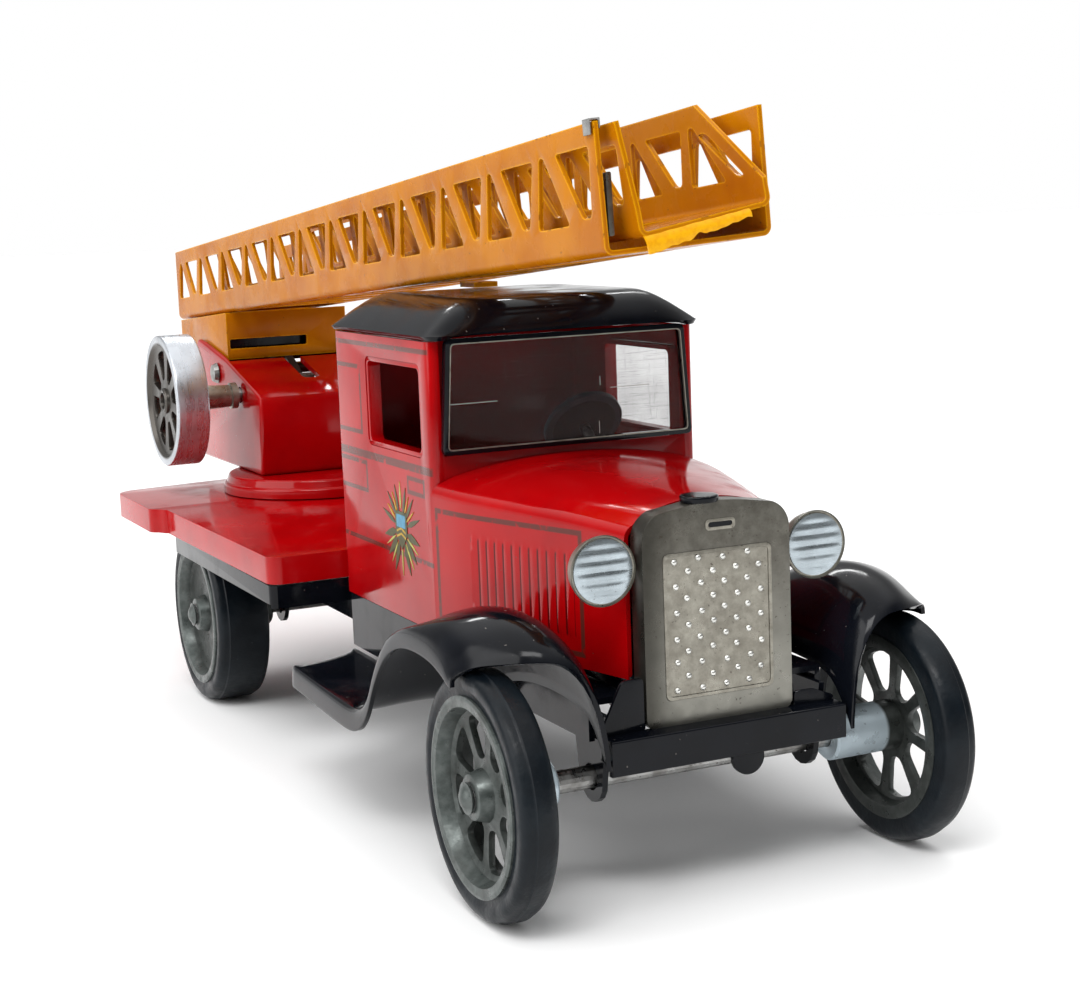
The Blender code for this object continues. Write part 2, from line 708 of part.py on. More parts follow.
def turntable_collar():
    """Round stepped collar fixed to the platform."""
    low, bore = BED_TOP + 0.3, 2.0 + GAP
    profile = [(bore, low), (COLLAR_R, low), (COLLAR_R, low + 2.0),
               (COLLAR_R - 1.6, COLLAR_TOP), (bore, COLLAR_TOP)]
    return finish(turned("turntable_collar", profile, "Z", (0.0, TURN_STATION, 0.0),
                         WHEEL_STEPS), "red_paint")


def turntable_rivet():
    """Headed rivet that holds the housing down on the collar and platform."""
    top, bottom = TURN_LOW + 1.2 + GAP, BED_TOP - TIN - GAP
    profile = [(0.0, top + 1.4), (3.6, top), (2.0, top), (2.0, bottom), (3.4, bottom),
               (2.6, bottom - 1.0), (0.0, bottom - 1.0)]
    return finish(turned("turntable_rivet", profile, "Z", (0.0, TURN_STATION, 0.0),
                         SMALL_STEPS), "steel")


def turntable_housing():
    """Hollow housing: front wall, sloping top, two tall cheeks and an open back."""
    skin = 1.0
    side_view = [(180.6, TURN_LOW), (180.1, 49.6), (178.6, 65.0), (179.3, 66.9),
                 (181.2, 67.7), (208.8, 75.0), (226.0, 78.0), (231.6, 78.6), (233.4, 76.8),
                 (233.4, 51.0), (231.5, TURN_LOW)]
    hollow = [(182.0, TURN_LOW + 1.2), (180.2, 65.2), (182.0, 66.4), (205.6, 72.8),
              (205.6, 90.0), (245.0, 90.0), (245.0, TURN_LOW + 1.2)]
    housing = plate("turntable_housing", [side_view], -CHEEK_X, CHEEK_X, along_x)
    bevel(housing, 0.35, 1, 50)
    cut(housing, plate("housing_hollow", [hollow], -CHEEK_X + skin, CHEEK_X - skin, along_x))
    cut(housing, plate("housing_shaft_bore", [circle(SHAFT, SHAFT_R + GAP)], -30, 30, along_x))
    cut(housing, plate("housing_pin_bore", [circle((PIVOT_STATION, PIVOT_Z), PIVOT_R + GAP)],
                       -30, 30, along_x))
    cut(housing, block("housing_gear_slot", (-2.2, 2.2), (190.0, 207.0), (63.0, 90.0)))
    cut(housing, plate("housing_rivet_bore", [circle((0.0, TURN_STATION), 2.0 + GAP)],
                       40, 55, along_z))
    return finish(housing, "red_paint")


def hinge_pin():
    """Headed pin on which the ladder cradle tilts."""
    head, out = 2.6, CHEEK_X + GAP
    profile = [(0.0, out + 1.0), (head - 0.5, out + 1.0), (head, out), (PIVOT_R, out),
               (PIVOT_R, -out), (head, -out), (head - 0.5, -out - 1.0), (0.0, -out - 1.0)]
    return finish(turned("hinge_pin", profile, "X", (0.0, PIVOT_STATION, PIVOT_Z), SMALL_STEPS),
                  "steel")


def gear_teeth(centre, teeth, first_angle, count):
    """Outline of count teeth about a centre, the first one centred on first_angle."""
    pitch_r = MODULE * teeth / 2.0
    tip, root = pitch_r + 0.24, pitch_r - 0.5
    step = 2.0 * math.pi / teeth
    points = []
    for k in range(count):
        for radius, share in ((root, -0.30), (tip, -0.17), (tip, 0.17), (root, 0.30)):
            angle = first_angle + (k + share) * step
            points.append((centre[0] + radius * math.cos(angle),
                           centre[1] + radius * math.sin(angle)))
    return points


def drive_angle():
    """Direction from the cradle pivot to the handwheel shaft."""
    return math.atan2(SHAFT[1] - PIVOT_Z, SHAFT[0] - PIVOT_STATION) % (2 * math.pi)


def elevation_sector():
    """Toothed plate hung under the cradle; its teeth run on the handwheel pinion."""
    y, z = PIVOT_STATION, PIVOT_Z
    outline = gear_teeth((y, z), SECTOR_TEETH, drive_angle() - math.radians(6.0), 11)
    outline += [(y + 3.4, z - 1.2), (y + 3.4, z + 1.5), (y + 2.0, z + 3.6), (y - 6.0, z + 3.6)]
    sector = plate("elevation_sector", [outline], -1.0, 1.0, along_x)
    cut(sector, plate("sector_bore", [circle((y, z), PIVOT_R + GAP)], -3, 3, along_x))
    return finish(sector, "steel")


def handwheel_shaft():
    profile = [(0.0, CHEEK_X + 1.6), (SHAFT_R, CHEEK_X + 1.6), (SHAFT_R, -27.4), (0.0, -27.4)]
    return finish(turned("handwheel_shaft", profile, "X", (0.0, *SHAFT), SMALL_STEPS),
                  "steel")


def drive_pinion():
    half_step = math.pi / PINION_TEETH
    outline = gear_teeth(SHAFT, PINION_TEETH, drive_angle() + math.pi + half_step,
                         PINION_TEETH)
    pinion = plate("drive_pinion", [outline], -1.6, 1.6, along_x)
    cut(pinion, plate("pinion_bore", [circle(SHAFT, SHAFT_R + 0.3)], -5, 5, along_x))
    return finish(pinion, "steel")


def handwheel():
    """Spoked wheel with a broad flat band and a hub boss that reaches to the housing."""
    outer, inner = -36.4, -26.6
    web_out, web_in = outer + 1.2, outer + 2.6
    bore, boss, band = SHAFT_R + 0.3, 3.1, HANDWHEEL_R
    profile = [(bore, outer + 0.2), (boss, outer + 0.2), (boss, web_out), (13.0, web_out),
               (13.6, outer), (band, outer), (band, inner), (13.9, inner), (13.0, web_in),
               (boss, web_in), (boss, -CHEEK_X - 1.0), (bore, -CHEEK_X - 1.0)]
    wheel = turned("handwheel", profile, "X", (0.0, *SHAFT), RIM_STEPS)
    windows = spoke_windows(SHAFT, 8, (5.4, 11.0), (12.0, 14.0), 10.0)
    cut(wheel, plate("handwheel_windows", windows, web_out - 1.5, web_in + 1.5, along_x))
    return finish(wheel, "bright_tin")


# ---------------------------------------------------------------- ladder

def ladder_low(station):
    """Height of the lower ladder's underside on its centre line."""
    return LADDER_LOW_AT_FRONT - math.tan(LADDER_SLOPE) * (station - LADDER_FRONT)


def ladder_cradle():
    """Box-shaped cradle under the ladder's rear, with a wide slot in its front wall."""
    half, wall = CHEEK_X - 1.0 - GAP, 0.9
    front, rear = 208.4, 252.0
    z = PIVOT_Z
    lug = arc((PIVOT_STATION, z), 3.4, 200, 340, 5)
    side_view = [(front, 74.8), (210.2, 75.0)] + lug + [(222.0, 75.1), (rear, 75.3),
                (rear, ladder_low(rear) - GAP), (front, ladder_low(front) - GAP)]
    hollow = [(front + wall, 60.0), (rear + 9.0, 60.0),
              (rear + 9.0, ladder_low(rear + 9.0) - GAP - wall),
              (front + wall, ladder_low(front + wall) - GAP - wall)]
    cradle = plate("ladder_cradle", [side_view], -half, half, along_x)
    cut(cradle, plate("cradle_hollow", [hollow], -half + wall, half - wall, along_x))
    cut(cradle, block("cradle_slot", (-13.2, 5.2), (front - 3.0, front + 3.0), (77.0, 79.5)))
    cut(cradle, plate("cradle_pin_bore", [circle((PIVOT_STATION, z), PIVOT_R + GAP)],
                      -30, 30, along_x))
    return finish(cradle, "yellow_paint")


def ladder_point(x, along, height):
    """Ladder coordinates to world: along runs down to the rear, height is upright."""
    return to_world(x, LADDER_FRONT + along * math.cos(LADDER_SLOPE),
                    LADDER_LOW_AT_FRONT - along * math.sin(LADDER_SLOPE) + height)


def lower_place(along, height, x):
    """The lower section is slightly twisted towards its tip."""
    angle = LADDER_TWIST * (1.0 - along / LOWER_LENGTH)
    c, s = math.cos(angle), math.sin(angle)
    return ladder_point(x * c - height * s, along, x * s + height * c)


def lower_height(along):
    return 20.6 - 2.4 * along / LOWER_LENGTH


def upper_place(along, height, x):
    """The upper section lies canted in the lower one, its right foot on the floor."""
    c, s = math.cos(UPPER_CANT), math.sin(UPPER_CANT)
    across = x + UPPER_HALF
    return ladder_point(-10.5 + across * c - height * s, along + UPPER_FRONT,
                        1.25 + across * s + height * c)


def upper_height(along):
    return 18.2 - 0.8 * along / UPPER_LENGTH


def leaned(along, height, foot):
    """Shift a point of the truss forwards with its height above the foot of the posts."""
    return (along - POST_LEAN * (height - foot), height)


def truss_windows(marks, height_at, foot, top_bar, post):
    """Openings on both sides of each bay's diagonal, as (along, height) outlines.

    The diagonal runs down to the front: its foot stands just behind the bay's front post.
    """
    windows = []
    bays = len(marks) - 1
    for k in range(bays):
        front = marks[k] + post * (0.5 if k else 1.0)
        rear = marks[k + 1] - post * (0.5 if k < bays - 1 else 1.0)
        clear = rear - front
        top = height_at(0.5 * (front + rear)) - top_bar
        behind = [(front + 0.43 * clear, foot), (rear, foot), (rear, top),
                  (rear - 0.08 * clear, top)]
        ahead = [(front + 0.05 * clear, foot + 0.6), (front + 0.2 * clear, foot + 0.6),
                 (front + 0.7 * clear, top), (front, top)]
        windows.append([leaned(a, h, foot) for a, h in behind])
        windows.append([leaned(a, h, foot) if a > front + 1.0 or k else (a, h)
                        for a, h in ahead])
    return windows


def ladder_section(label, half, length, height_at, foot, top_bar, bays, noses, place):
    """U-shaped ladder: two truss sides on a floor that is open between its rungs.

    noses are the set-backs of the top front corners, right side and left side.
    """
    post, rung = 2.5, 2.6
    bay = length / (bays - 1 + FIRST_BAY)
    marks = [0.0] + [(k + FIRST_BAY) * bay for k in range(bays)]
    rows = []
    for along in marks:
        top = height_at(along)
        right, left = noses if along == 0.0 else (0.0, 0.0)
        bend = 0.5
        section = [(half, top, left), (half, NOSE_LOW, 0.0), (half, bend, 0.0),
                   (half - bend, 0.0, 0.0), (-half + bend, 0.0, 0.0), (-half, bend, 0.0),
                   (-half, NOSE_LOW, 0.0), (-half, top, right)]
        rows.append([place(along + back, height, x) for x, height, back in section])
    section = sheet(label, rows, LADDER_WALL)

    windows = truss_windows(marks, height_at, foot, top_bar, post)
    cut(section, plate(label + "_right_windows", windows, -half - 2, 0.0, place))
    if max(noses) > 5.0:
        windows[1] = [(5.0, 5.4), (7.2, 5.4), (17.4, 13.4), (14.8, 13.4)]
    cut(section, plate(label + "_left_windows", windows, 0.0, half + 2, place))
    wide = half - LADDER_WALL - 2.4
    floor_holes = [[(marks[k] + rung / 2, -wide), (marks[k + 1] - rung / 2, -wide),
                    (marks[k + 1] - rung / 2, wide), (marks[k] + rung / 2, wide)]
                   for k in range(1, bays - 1)]
    cut(section, plate(label + "_rungs", floor_holes, -2.0, LADDER_WALL + 2.0,
                       lambda along, x, height: place(along, height, x)))
    return finish(section, "yellow_paint")


def ladder_lower():
    return ladder_section("ladder_lower", LADDER_HALF, LOWER_LENGTH, lower_height, 5.6, 3.4,
                          LOWER_BAYS, (0.0, 0.0), lower_place)


def ladder_upper():
    return ladder_section("ladder_upper", UPPER_HALF, UPPER_LENGTH, upper_height, 5.0, 3.4,
                          UPPER_BAYS, UPPER_NOSES, upper_place)


def ladder_foot():
    """Rest pad under the lower section; it carries the ladder on the cab roof."""
    low = roof_height(0.0, 83.0) + GAP
    return finish(block("ladder_foot", (-2.5, 2.5), (80.0, 87.0),
                        (low, ladder_low(87.0) - GAP)), "yellow_paint")


def ladder_clip():
    """Steel clip folded over the top edge of the lower section's right side."""
    top = lower_height(0.0)
    outside, inside = -LADDER_HALF - GAP, -LADDER_HALF + LADDER_WALL + 0.25
    outline = [(outside - 0.6, top - 2.3), (outside, top - 2.3), (outside, top + GAP),
               (inside, top + GAP), (inside, top - 2.3), (inside + 0.5, top - 2.3),
               (inside + 0.5, top + 0.95), (outside - 0.6, top + 0.95)]
    return finish(plate("ladder_clip", [outline], 0.3, 3.2,
                        lambda x, height, along: lower_place(along, height, x)), "steel")


def ladder_stop():
    """Upright steel stop on the lower section's floor, just inside its front end."""
    outline = [(-13.6, 1.15), (-12.5, 1.15), (-12.5, 12.6), (-13.6, 12.6)]
    return finish(plate("ladder_stop", [outline], 0.4, 2.6,
                        lambda x, height, along: lower_place(along, height, x)), "steel")


# ---------------------------------------------------------------- assembly

def build_base():
    chassis_frame()
    for side, label in ((-1, "right"), (1, "left")):
        axle_ear("front_ear_" + label, side, 0.0)
        axle_ear("rear_ear_" + label, side, WHEELBASE)
        mudguard("mudguard_" + label, side, 0.0 if side < 0 else 4.0)
        valance("valance_" + label, side)
        headlight_shell("headlight_shell_" + label, side)
        headlight_lens("headlight_lens_" + label, side)
        headlight_stay("headlight_stay_" + label, side)
    front_apron()
    cab_floor()
    bed_platform()
    bed_tray()
    cab_shell()
    cab_roof()
    windshield_frame()
    windshield_pane()
    hood()
    radiator_shell()
    radiator_core()
    radiator_cap()
    steering_bush()
    turntable_collar()
    turntable_rivet()
    joint_empty("steering_joint", to_world(*STEER_HUB), [steering_wheel(), steering_column()])


def build_turntable():
    upper = ladder_upper()
    tilting = [ladder_cradle(), elevation_sector(), ladder_lower(), ladder_foot(),
               ladder_clip(), ladder_stop(), upper]
    turning = [turntable_housing(), hinge_pin()]
    winding = [handwheel_shaft(), drive_pinion(), handwheel()]
    joint_empty("elevation_joint", to_world(0.0, PIVOT_STATION, PIVOT_Z), tilting)
    joint_empty("turntable_joint", to_world(0.0, TURN_STATION, TURN_LOW), turning)
    joint_empty("handwheel_joint", to_world(0.0, *SHAFT), winding)


build_base()
wheelset("front", 0.0, FRONT_TREAD, (27.5, 24.0), 8)
wheelset("rear", WHEELBASE, REAR_TREAD, (23.0, 23.0), 0)
build_turntable()
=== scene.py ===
"""Looks of the pressed-tin toy fire engine: fine meshes, worn paints, light and camera.

Working figures are millimetres, as in the CAD: +X is the vehicle's left, the nose faces -Y and
+Z is up. A "station" is a distance measured rearwards from the front axle.
"""
import json
import math
import random

import bmesh
import bpy
from mathutils import Matrix, Vector


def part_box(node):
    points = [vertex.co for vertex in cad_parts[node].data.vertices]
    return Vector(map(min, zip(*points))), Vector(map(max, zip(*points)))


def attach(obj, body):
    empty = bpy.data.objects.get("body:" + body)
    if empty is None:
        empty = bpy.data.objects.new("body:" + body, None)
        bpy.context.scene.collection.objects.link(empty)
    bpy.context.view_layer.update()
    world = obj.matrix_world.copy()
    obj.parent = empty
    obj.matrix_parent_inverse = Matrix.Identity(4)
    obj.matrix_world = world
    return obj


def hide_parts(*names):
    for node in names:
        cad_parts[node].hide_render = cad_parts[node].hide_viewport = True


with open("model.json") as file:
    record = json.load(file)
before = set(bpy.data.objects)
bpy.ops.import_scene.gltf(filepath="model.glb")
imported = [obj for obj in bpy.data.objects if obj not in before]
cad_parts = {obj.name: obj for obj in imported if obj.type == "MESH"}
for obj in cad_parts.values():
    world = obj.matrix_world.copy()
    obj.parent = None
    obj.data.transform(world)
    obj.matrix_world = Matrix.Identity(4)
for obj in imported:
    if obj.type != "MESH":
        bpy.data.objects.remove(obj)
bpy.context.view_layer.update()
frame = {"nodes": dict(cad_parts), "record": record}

MM = 0.001
WELD = 0.00001    # metres
SIDES = ((-1, "right"), (1, "left"))


# ---------------------------------------------------------------- places, from the frame

def middle(node):
    low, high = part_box(node)
    return (low + high) / 2


FRONT_AXLE_Y = middle("front_axle").y


def to_world(x, station, z):
    return Vector((x * MM, FRONT_AXLE_Y + station * MM, z * MM))


def limits(node):
    """(x, station, z) limits of a CAD node in working millimetres."""
    low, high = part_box(node)
    return ((low.x / MM, high.x / MM),
            ((low.y - FRONT_AXLE_Y) / MM, (high.y - FRONT_AXLE_Y) / MM),
            (low.z / MM, high.z / MM))


def centre_of(node):
    return tuple(0.5 * (low + high) for low, high in limits(node))


def axis_of(node):
    """World Y and Z of a turned node's axis along X."""
    return tuple(middle(node))[1:]


def along_x(a, b, depth):
    """Place a point of an outline drawn in (station, z), with its depth along X."""
    return to_world(depth, a, b)


def along_y(a, b, depth):
    return to_world(a, depth, b)


def along_z(a, b, depth):
    return to_world(a, b, depth)


# ---------------------------------------------------------------- mesh helpers

AXIS_TURN = {
    "X": Matrix.Rotation(math.radians(90), 4, "Y"),
    "Y": Matrix.Rotation(math.radians(-90), 4, "X"),
    "Z": Matrix.Identity(4),
}


def close_up(data):
    """Weld a mesh and turn its faces outwards."""
    mesh = bmesh.new()
    mesh.from_mesh(data)
    bmesh.ops.remove_doubles(mesh, verts=mesh.verts, dist=WELD)
    bmesh.ops.recalc_face_normals(mesh, faces=mesh.faces)
    if mesh.calc_volume(signed=True) < 0.0:
        bmesh.ops.reverse_faces(mesh, faces=mesh.faces)
    mesh.to_mesh(data)
    mesh.free()


def new_piece(name, data):
    piece = bpy.data.objects.new(name, data)
    bpy.context.scene.collection.objects.link(piece)
    return piece


def unload(name, mesh):
    """Make a piece from a bmesh and free the bmesh."""
    data = bpy.data.meshes.new(name)
    mesh.to_mesh(data)
    mesh.free()
    return new_piece(name, data)


def evaluated(piece):
    """Mesh of an object with its modifiers and placing applied."""
    bpy.context.view_layer.update()
    data = bpy.data.meshes.new_from_object(
        piece.evaluated_get(bpy.context.evaluated_depsgraph_get()))
    data.transform(piece.matrix_world)
    return data


def plate(name, outlines, low, high, place):
    """Extrude flat outlines from low to high and put every point where place() says."""
    curve = bpy.data.curves.new(name + "_outline", "CURVE")
    curve.dimensions = "2D"
    curve.fill_mode = "BOTH"
    curve.extrude = 0.5 * (high - low)
    for outline in outlines:
        spline = curve.splines.new("POLY")
        spline.points.add(len(outline) - 1)
        for point, (a, b) in zip(spline.points, outline):
            point.co = (a, b, 0.0, 1.0)
        spline.use_cyclic_u = True
    drawn = new_piece(name + "_outline", curve)
    data = evaluated(drawn)
    bpy.data.objects.remove(drawn, do_unlink=True)
    half_way = 0.5 * (low + high)
    for vert in data.vertices:
        vert.co = place(vert.co.x, vert.co.y, vert.co.z + half_way)
    close_up(data)
    return new_piece(name, data)


def turned(name, profile, axis, centre, steps=96):
    """Turn a profile of (radius, distance along the axis) pairs with a Screw modifier."""
    closed = profile[0][0] > 0.0
    loop = profile + [profile[0]]
    area = sum(r0 * a1 - r1 * a0 for (r0, a0), (r1, a1) in zip(loop[:-1], loop[1:]))
    points = profile if area < 0.0 else list(reversed(profile))
    edges = [(i, i + 1) for i in range(len(points) - 1)]
    if closed:
        edges.append((len(points) - 1, 0))
    data = bpy.data.meshes.new(name)
    data.from_pydata([(r * MM, 0.0, a * MM) for r, a in points], edges, [])
    piece = new_piece(name, data)
    piece.matrix_world = Matrix.Translation(to_world(*centre)) @ AXIS_TURN[axis]
    screw = piece.modifiers.new("turn", "SCREW")
    screw.steps = steps
    screw.render_steps = steps
    screw.use_merge_vertices = True
    screw.merge_threshold = WELD
    return piece


def sheet(name, rows, thickness, levels=0):
    """Bend a grid through rows of points and thicken it on the side under the rows."""
    mesh = bmesh.new()
    across, along = len(rows[0]), len(rows)
    bmesh.ops.create_grid(mesh, x_segments=across - 1, y_segments=along - 1, size=0.5)
    order = sorted(mesh.verts, key=lambda v: (round(v.co.y, 5), round(v.co.x, 5)))
    for vert, point in zip(order, [point for row in rows for point in row]):
        vert.co = point
    piece = unload(name, mesh)
    if levels:
        soften = piece.modifiers.new("soften", "SUBSURF")
        soften.levels = levels
        soften.render_levels = levels
        soften.boundary_smooth = "PRESERVE_CORNERS"
    solid = piece.modifiers.new("thickness", "SOLIDIFY")
    solid.thickness = thickness * MM
    solid.offset = -1.0
    solid.use_even_offset = True
    return piece


def punch(piece, outlines, low, high, place):
    """Cut openings of some outlines into a piece; bake() removes the cutter."""
    cutter = plate(piece.name + "_cutter", outlines, low, high, place)
    boolean = piece.modifiers.new(cutter.name, "BOOLEAN")
    boolean.operation = "DIFFERENCE"
    boolean.solver = "EXACT"
    boolean.object = cutter


def bevel(piece, width=0.2, segments=3, angle_deg=50):
    edge = piece.modifiers.new("edge", "BEVEL")
    edge.width = width * MM
    edge.segments = segments
    edge.limit_method = "ANGLE"
    edge.angle_limit = math.radians(angle_deg)
    return piece


def bake(piece):
    """Apply the modifiers of a piece and remove its cutters."""
    cutters = [m.object for m in piece.modifiers if m.type == "BOOLEAN"]
    data = evaluated(piece)
    name = piece.name
    bpy.data.objects.remove(piece, do_unlink=True)
    for cutter in cutters:
        bpy.data.objects.remove(cutter, do_unlink=True)
    return new_piece(name, data)


def reshape(piece, move):
    """Move each point of a baked piece; move() takes and returns (x, station, z)."""
    for vert in piece.data.vertices:
        place = (vert.co.x / MM, (vert.co.y - FRONT_AXLE_Y) / MM, vert.co.z / MM)
        vert.co = to_world(*move(*place))
    return piece


def dress(piece, paint, node=None, body="body", smooth_deg=35):
    """Bake a piece, paint it and put it on its body, in place of its CAD node if it has one."""
    if piece.modifiers or piece.matrix_world != Matrix.Identity(4):
        piece = bake(piece)
    piece.data.materials.clear()
    piece.data.materials.append(PAINT[paint])
    piece.data.shade_smooth()
    piece.data.set_sharp_from_angle(angle=math.radians(smooth_deg))
    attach(piece, body)
    if node:
        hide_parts(node)


# ---------------------------------------------------------------- outlines

def circle(centre, radius, count=48):
    return [(centre[0] + radius * math.cos(2 * math.pi * k / count),
             centre[1] + radius * math.sin(2 * math.pi * k / count)) for k in range(count)]


def arc(centre, radius, start_deg, stop_deg, steps):
    points = []
    for k in range(steps + 1):
        angle = math.radians(start_deg + (stop_deg - start_deg) * k / steps)
        points.append((centre[0] + radius * math.cos(angle),
                       centre[1] + radius * math.sin(angle)))
    return points


def rectangle(x_range, y_range, radius, steps=6):
    """Rectangle with rounded corners, anticlockwise."""
    (x0, x1), (y0, y1) = x_range, y_range
    outline = []
    for cx, cy, start in ((x1 - radius, y0 + radius, -90), (x1 - radius, y1 - radius, 0),
                          (x0 + radius, y1 - radius, 90), (x0 + radius, y0 + radius, 180)):
        outline += arc((cx, cy), radius, start, start + 90, steps)
    return outline


def both_sides(half_outline):
    """Complete a half outline (x >= 0) with its mirror image."""
    return half_outline + [(-a, b) for a, b in reversed(half_outline) if a > 0.01]


def rounded(corners, radius, steps=5):
    """Round every corner of an outline."""
    outline = []
    count = len(corners)
    for k, corner in enumerate(corners):
        here = Vector(corner)
        ends = []
        for other in (corners[k - 1], corners[(k + 1) % count]):
            way = Vector(other) - here
            ends.append(here + way.normalized() * min(radius, 0.45 * way.length))
        for step in range(steps + 1):
            t = step / steps
            point = (1 - t) ** 2 * ends[0] + 2 * t * (1 - t) * here + t ** 2 * ends[1]
            outline.append((point.x, point.y))
    return outline


def spoke_windows(centre, count, near, far, turn_deg=0.0, radius=0.8):
    """Rounded openings between spokes; near and far are (radius, half angle)."""
    outlines = []
    for k in range(count):
        angle = 360.0 * (k + 0.5) / count + turn_deg
        corners = arc(centre, near[0], angle - near[1], angle + near[1], 1)
        corners += arc(centre, far[0], angle + far[1], angle - far[1], 2)
        outlines.append(rounded(corners, radius))
    return outlines


def smooth_rows(rows, steps):
    """Insert steps - 1 interpolated rows between each pair of rows (Catmull-Rom)."""
    smooth = []
    last = len(rows) - 1
    for i in range(last):
        neighbours = (rows[max(i - 1, 0)], rows[i], rows[i + 1], rows[min(i + 2, last)])
        for k in range(steps):
            t = k / steps
            smooth.append(tuple(
                0.5 * (2 * b + (c - a) * t + (2 * a - 5 * b + 4 * c - d) * t ** 2
                       + (3 * b - a - 3 * c + d) * t ** 3)
                for a, b, c, d in zip(*neighbours)))
    smooth.append(rows[last])
    return smooth


# ---------------------------------------------------------------- node helpers

class Patterns:
    """The few node patterns that the finishes and the world share."""

    def __init__(self, tree, coordinate):
        self.tree = tree
        self.place = tree.nodes.new("ShaderNodeTexCoord").outputs[coordinate]
        split = tree.nodes.new("ShaderNodeSeparateXYZ")
        tree.links.new(self.place, split.inputs[0])
        self.x, self.y, self.z = split.outputs

    def put(self, socket, value):
        """Give an input a number, a colour or another node's output."""
        if isinstance(value, bpy.types.NodeSocket):
            self.tree.links.new(value, socket)
        else:
            socket.default_value = value

    def noise(self, scale, detail, stretch=None, rough=0.55, distortion=0.0):
        texture = self.tree.nodes.new("ShaderNodeTexNoise")
        source = self.place
        if stretch:
            mapping = self.tree.nodes.new("ShaderNodeMapping")
            mapping.inputs["Scale"].default_value = stretch
            self.put(mapping.inputs["Vector"], source)
            source = mapping.outputs[0]
        for socket, value in (("Vector", source), ("Scale", scale), ("Detail", detail),
                              ("Roughness", rough), ("Distortion", distortion)):
            self.put(texture.inputs[socket], value)
        return texture.outputs["Fac"]

    def math(self, operation, a, b=0.0, clamp=False):
        node = self.tree.nodes.new("ShaderNodeMath")
        node.operation = operation
        node.use_clamp = clamp
        self.put(node.inputs[0], a)
        self.put(node.inputs[1], b)
        return node.outputs[0]

    def times(self, product, *factors):
        for factor in factors:
            product = self.math("MULTIPLY", product, factor)
        return product

    def away(self, value, centre):
        """Distance of a value from a centre, on either side."""
        return self.math("ABSOLUTE", self.math("SUBTRACT", value, centre))

    def span(self, value, low, high, out_low=0.0, out_high=1.0):
        """Map low..high to out_low..out_high with a soft start and stop, clamped."""
        node = self.tree.nodes.new("ShaderNodeMapRange")
        node.interpolation_type = "SMOOTHSTEP"
        for socket, number in zip(node.inputs[:5], (value, low, high, out_low, out_high)):
            self.put(socket, number)
        return node.outputs[0]


class Finish(Patterns):
    """A worn material: a base tone with other colours laid over it through masks."""

    def __init__(self, name, tone, **sockets):
        self.material = bpy.data.materials.new(name)
        self.material.use_nodes = True
        super().__init__(self.material.node_tree, "Object")
        self.shader = self.tree.nodes["Principled BSDF"]
        self.tone = tone
        self.set(**sockets)

    def set(self, **sockets):
        for socket, value in sockets.items():
            self.put(self.shader.inputs[socket.replace("_", " ")], value)
        return self.material

    def clouds(self, scale, detail, low, high, out_low=0.0, out_high=1.0, **look):
        """Noise whose levels low..high are mapped to out_low..out_high."""
        return self.span(self.noise(scale, detail, **look), low, high, out_low, out_high)

    def lay(self, colour, mask, amount=1.0):
        """Lay a share of a colour over the tone inside a mask."""
        node = self.tree.nodes.new("ShaderNodeMix")
        node.data_type = "RGBA"
        self.put(node.inputs["Factor"], self.times(mask, amount))
        for socket, tone in zip(node.inputs[6:8], (self.tone, colour)):
            self.put(socket, tone if isinstance(tone, bpy.types.NodeSocket) else (*tone, 1.0))
        self.tone = node.outputs[2]

    def blotch(self, colour, amount, *levels, **look):
        """Lay a colour over the tone in clouds."""
        self.lay(colour, self.clouds(*levels, **look), amount)

    def edges(self, radius):
        """Mask of the surface within a radius (metres) of sharp edges, for a painted edge
        highlight and chips.
        """
        rounded_off = self.tree.nodes.new("ShaderNodeBevel")
        rounded_off.samples = 4
        rounded_off.inputs["Radius"].default_value = radius
        surface = self.tree.nodes.new("ShaderNodeNewGeometry")
        match = self.tree.nodes.new("ShaderNodeVectorMath")
        match.operation = "DOT_PRODUCT"
        self.put(match.inputs[0], rounded_off.outputs["Normal"])
        self.put(match.inputs[1], surface.outputs["Normal"])
        return self.span(match.outputs["Value"], 0.8, 0.98, 1.0, 0.0)

    def done(self, roughness, relief, strength, depth):
        """Set the tone, the roughness and a bump of some depth (metres)."""
        bump = self.tree.nodes.new("ShaderNodeBump")
        for socket, value in (("Strength", strength), ("Distance", depth), ("Height", relief)):
            self.put(bump.inputs[socket], value)
        return self.set(Base_Color=self.tone, Roughness=roughness, Normal=bump.outputs[0])


# ---------------------------------------------------------------- masks and finishes

RED, RED_DEEP = (0.40, 0.0007, 0.002), (0.30, 0.0006, 0.002)
STRIPE = (0.085, 0.020, 0.014)


def stripe_mask(finish, stripes):
    """Join drawn rectangles (centre, half size and line in millimetres) into one mask."""
    total = 0.0
    for station, z, half_station, half_z, line in stripes:
        along = finish.away(finish.y, FRONT_AXLE_Y + station * MM)
        upwards = finish.away(finish.z, z * MM)
        inside = finish.math("MAXIMUM", finish.math("SUBTRACT", along, half_station * MM),
                             finish.math("SUBTRACT", upwards, half_z * MM))
        drawn = finish.span(finish.math("ABSOLUTE", inside), 0.35 * line * MM,
                            0.65 * line * MM, 1.0, 0.0)
        total = finish.math("MAXIMUM", total, drawn)
    return total


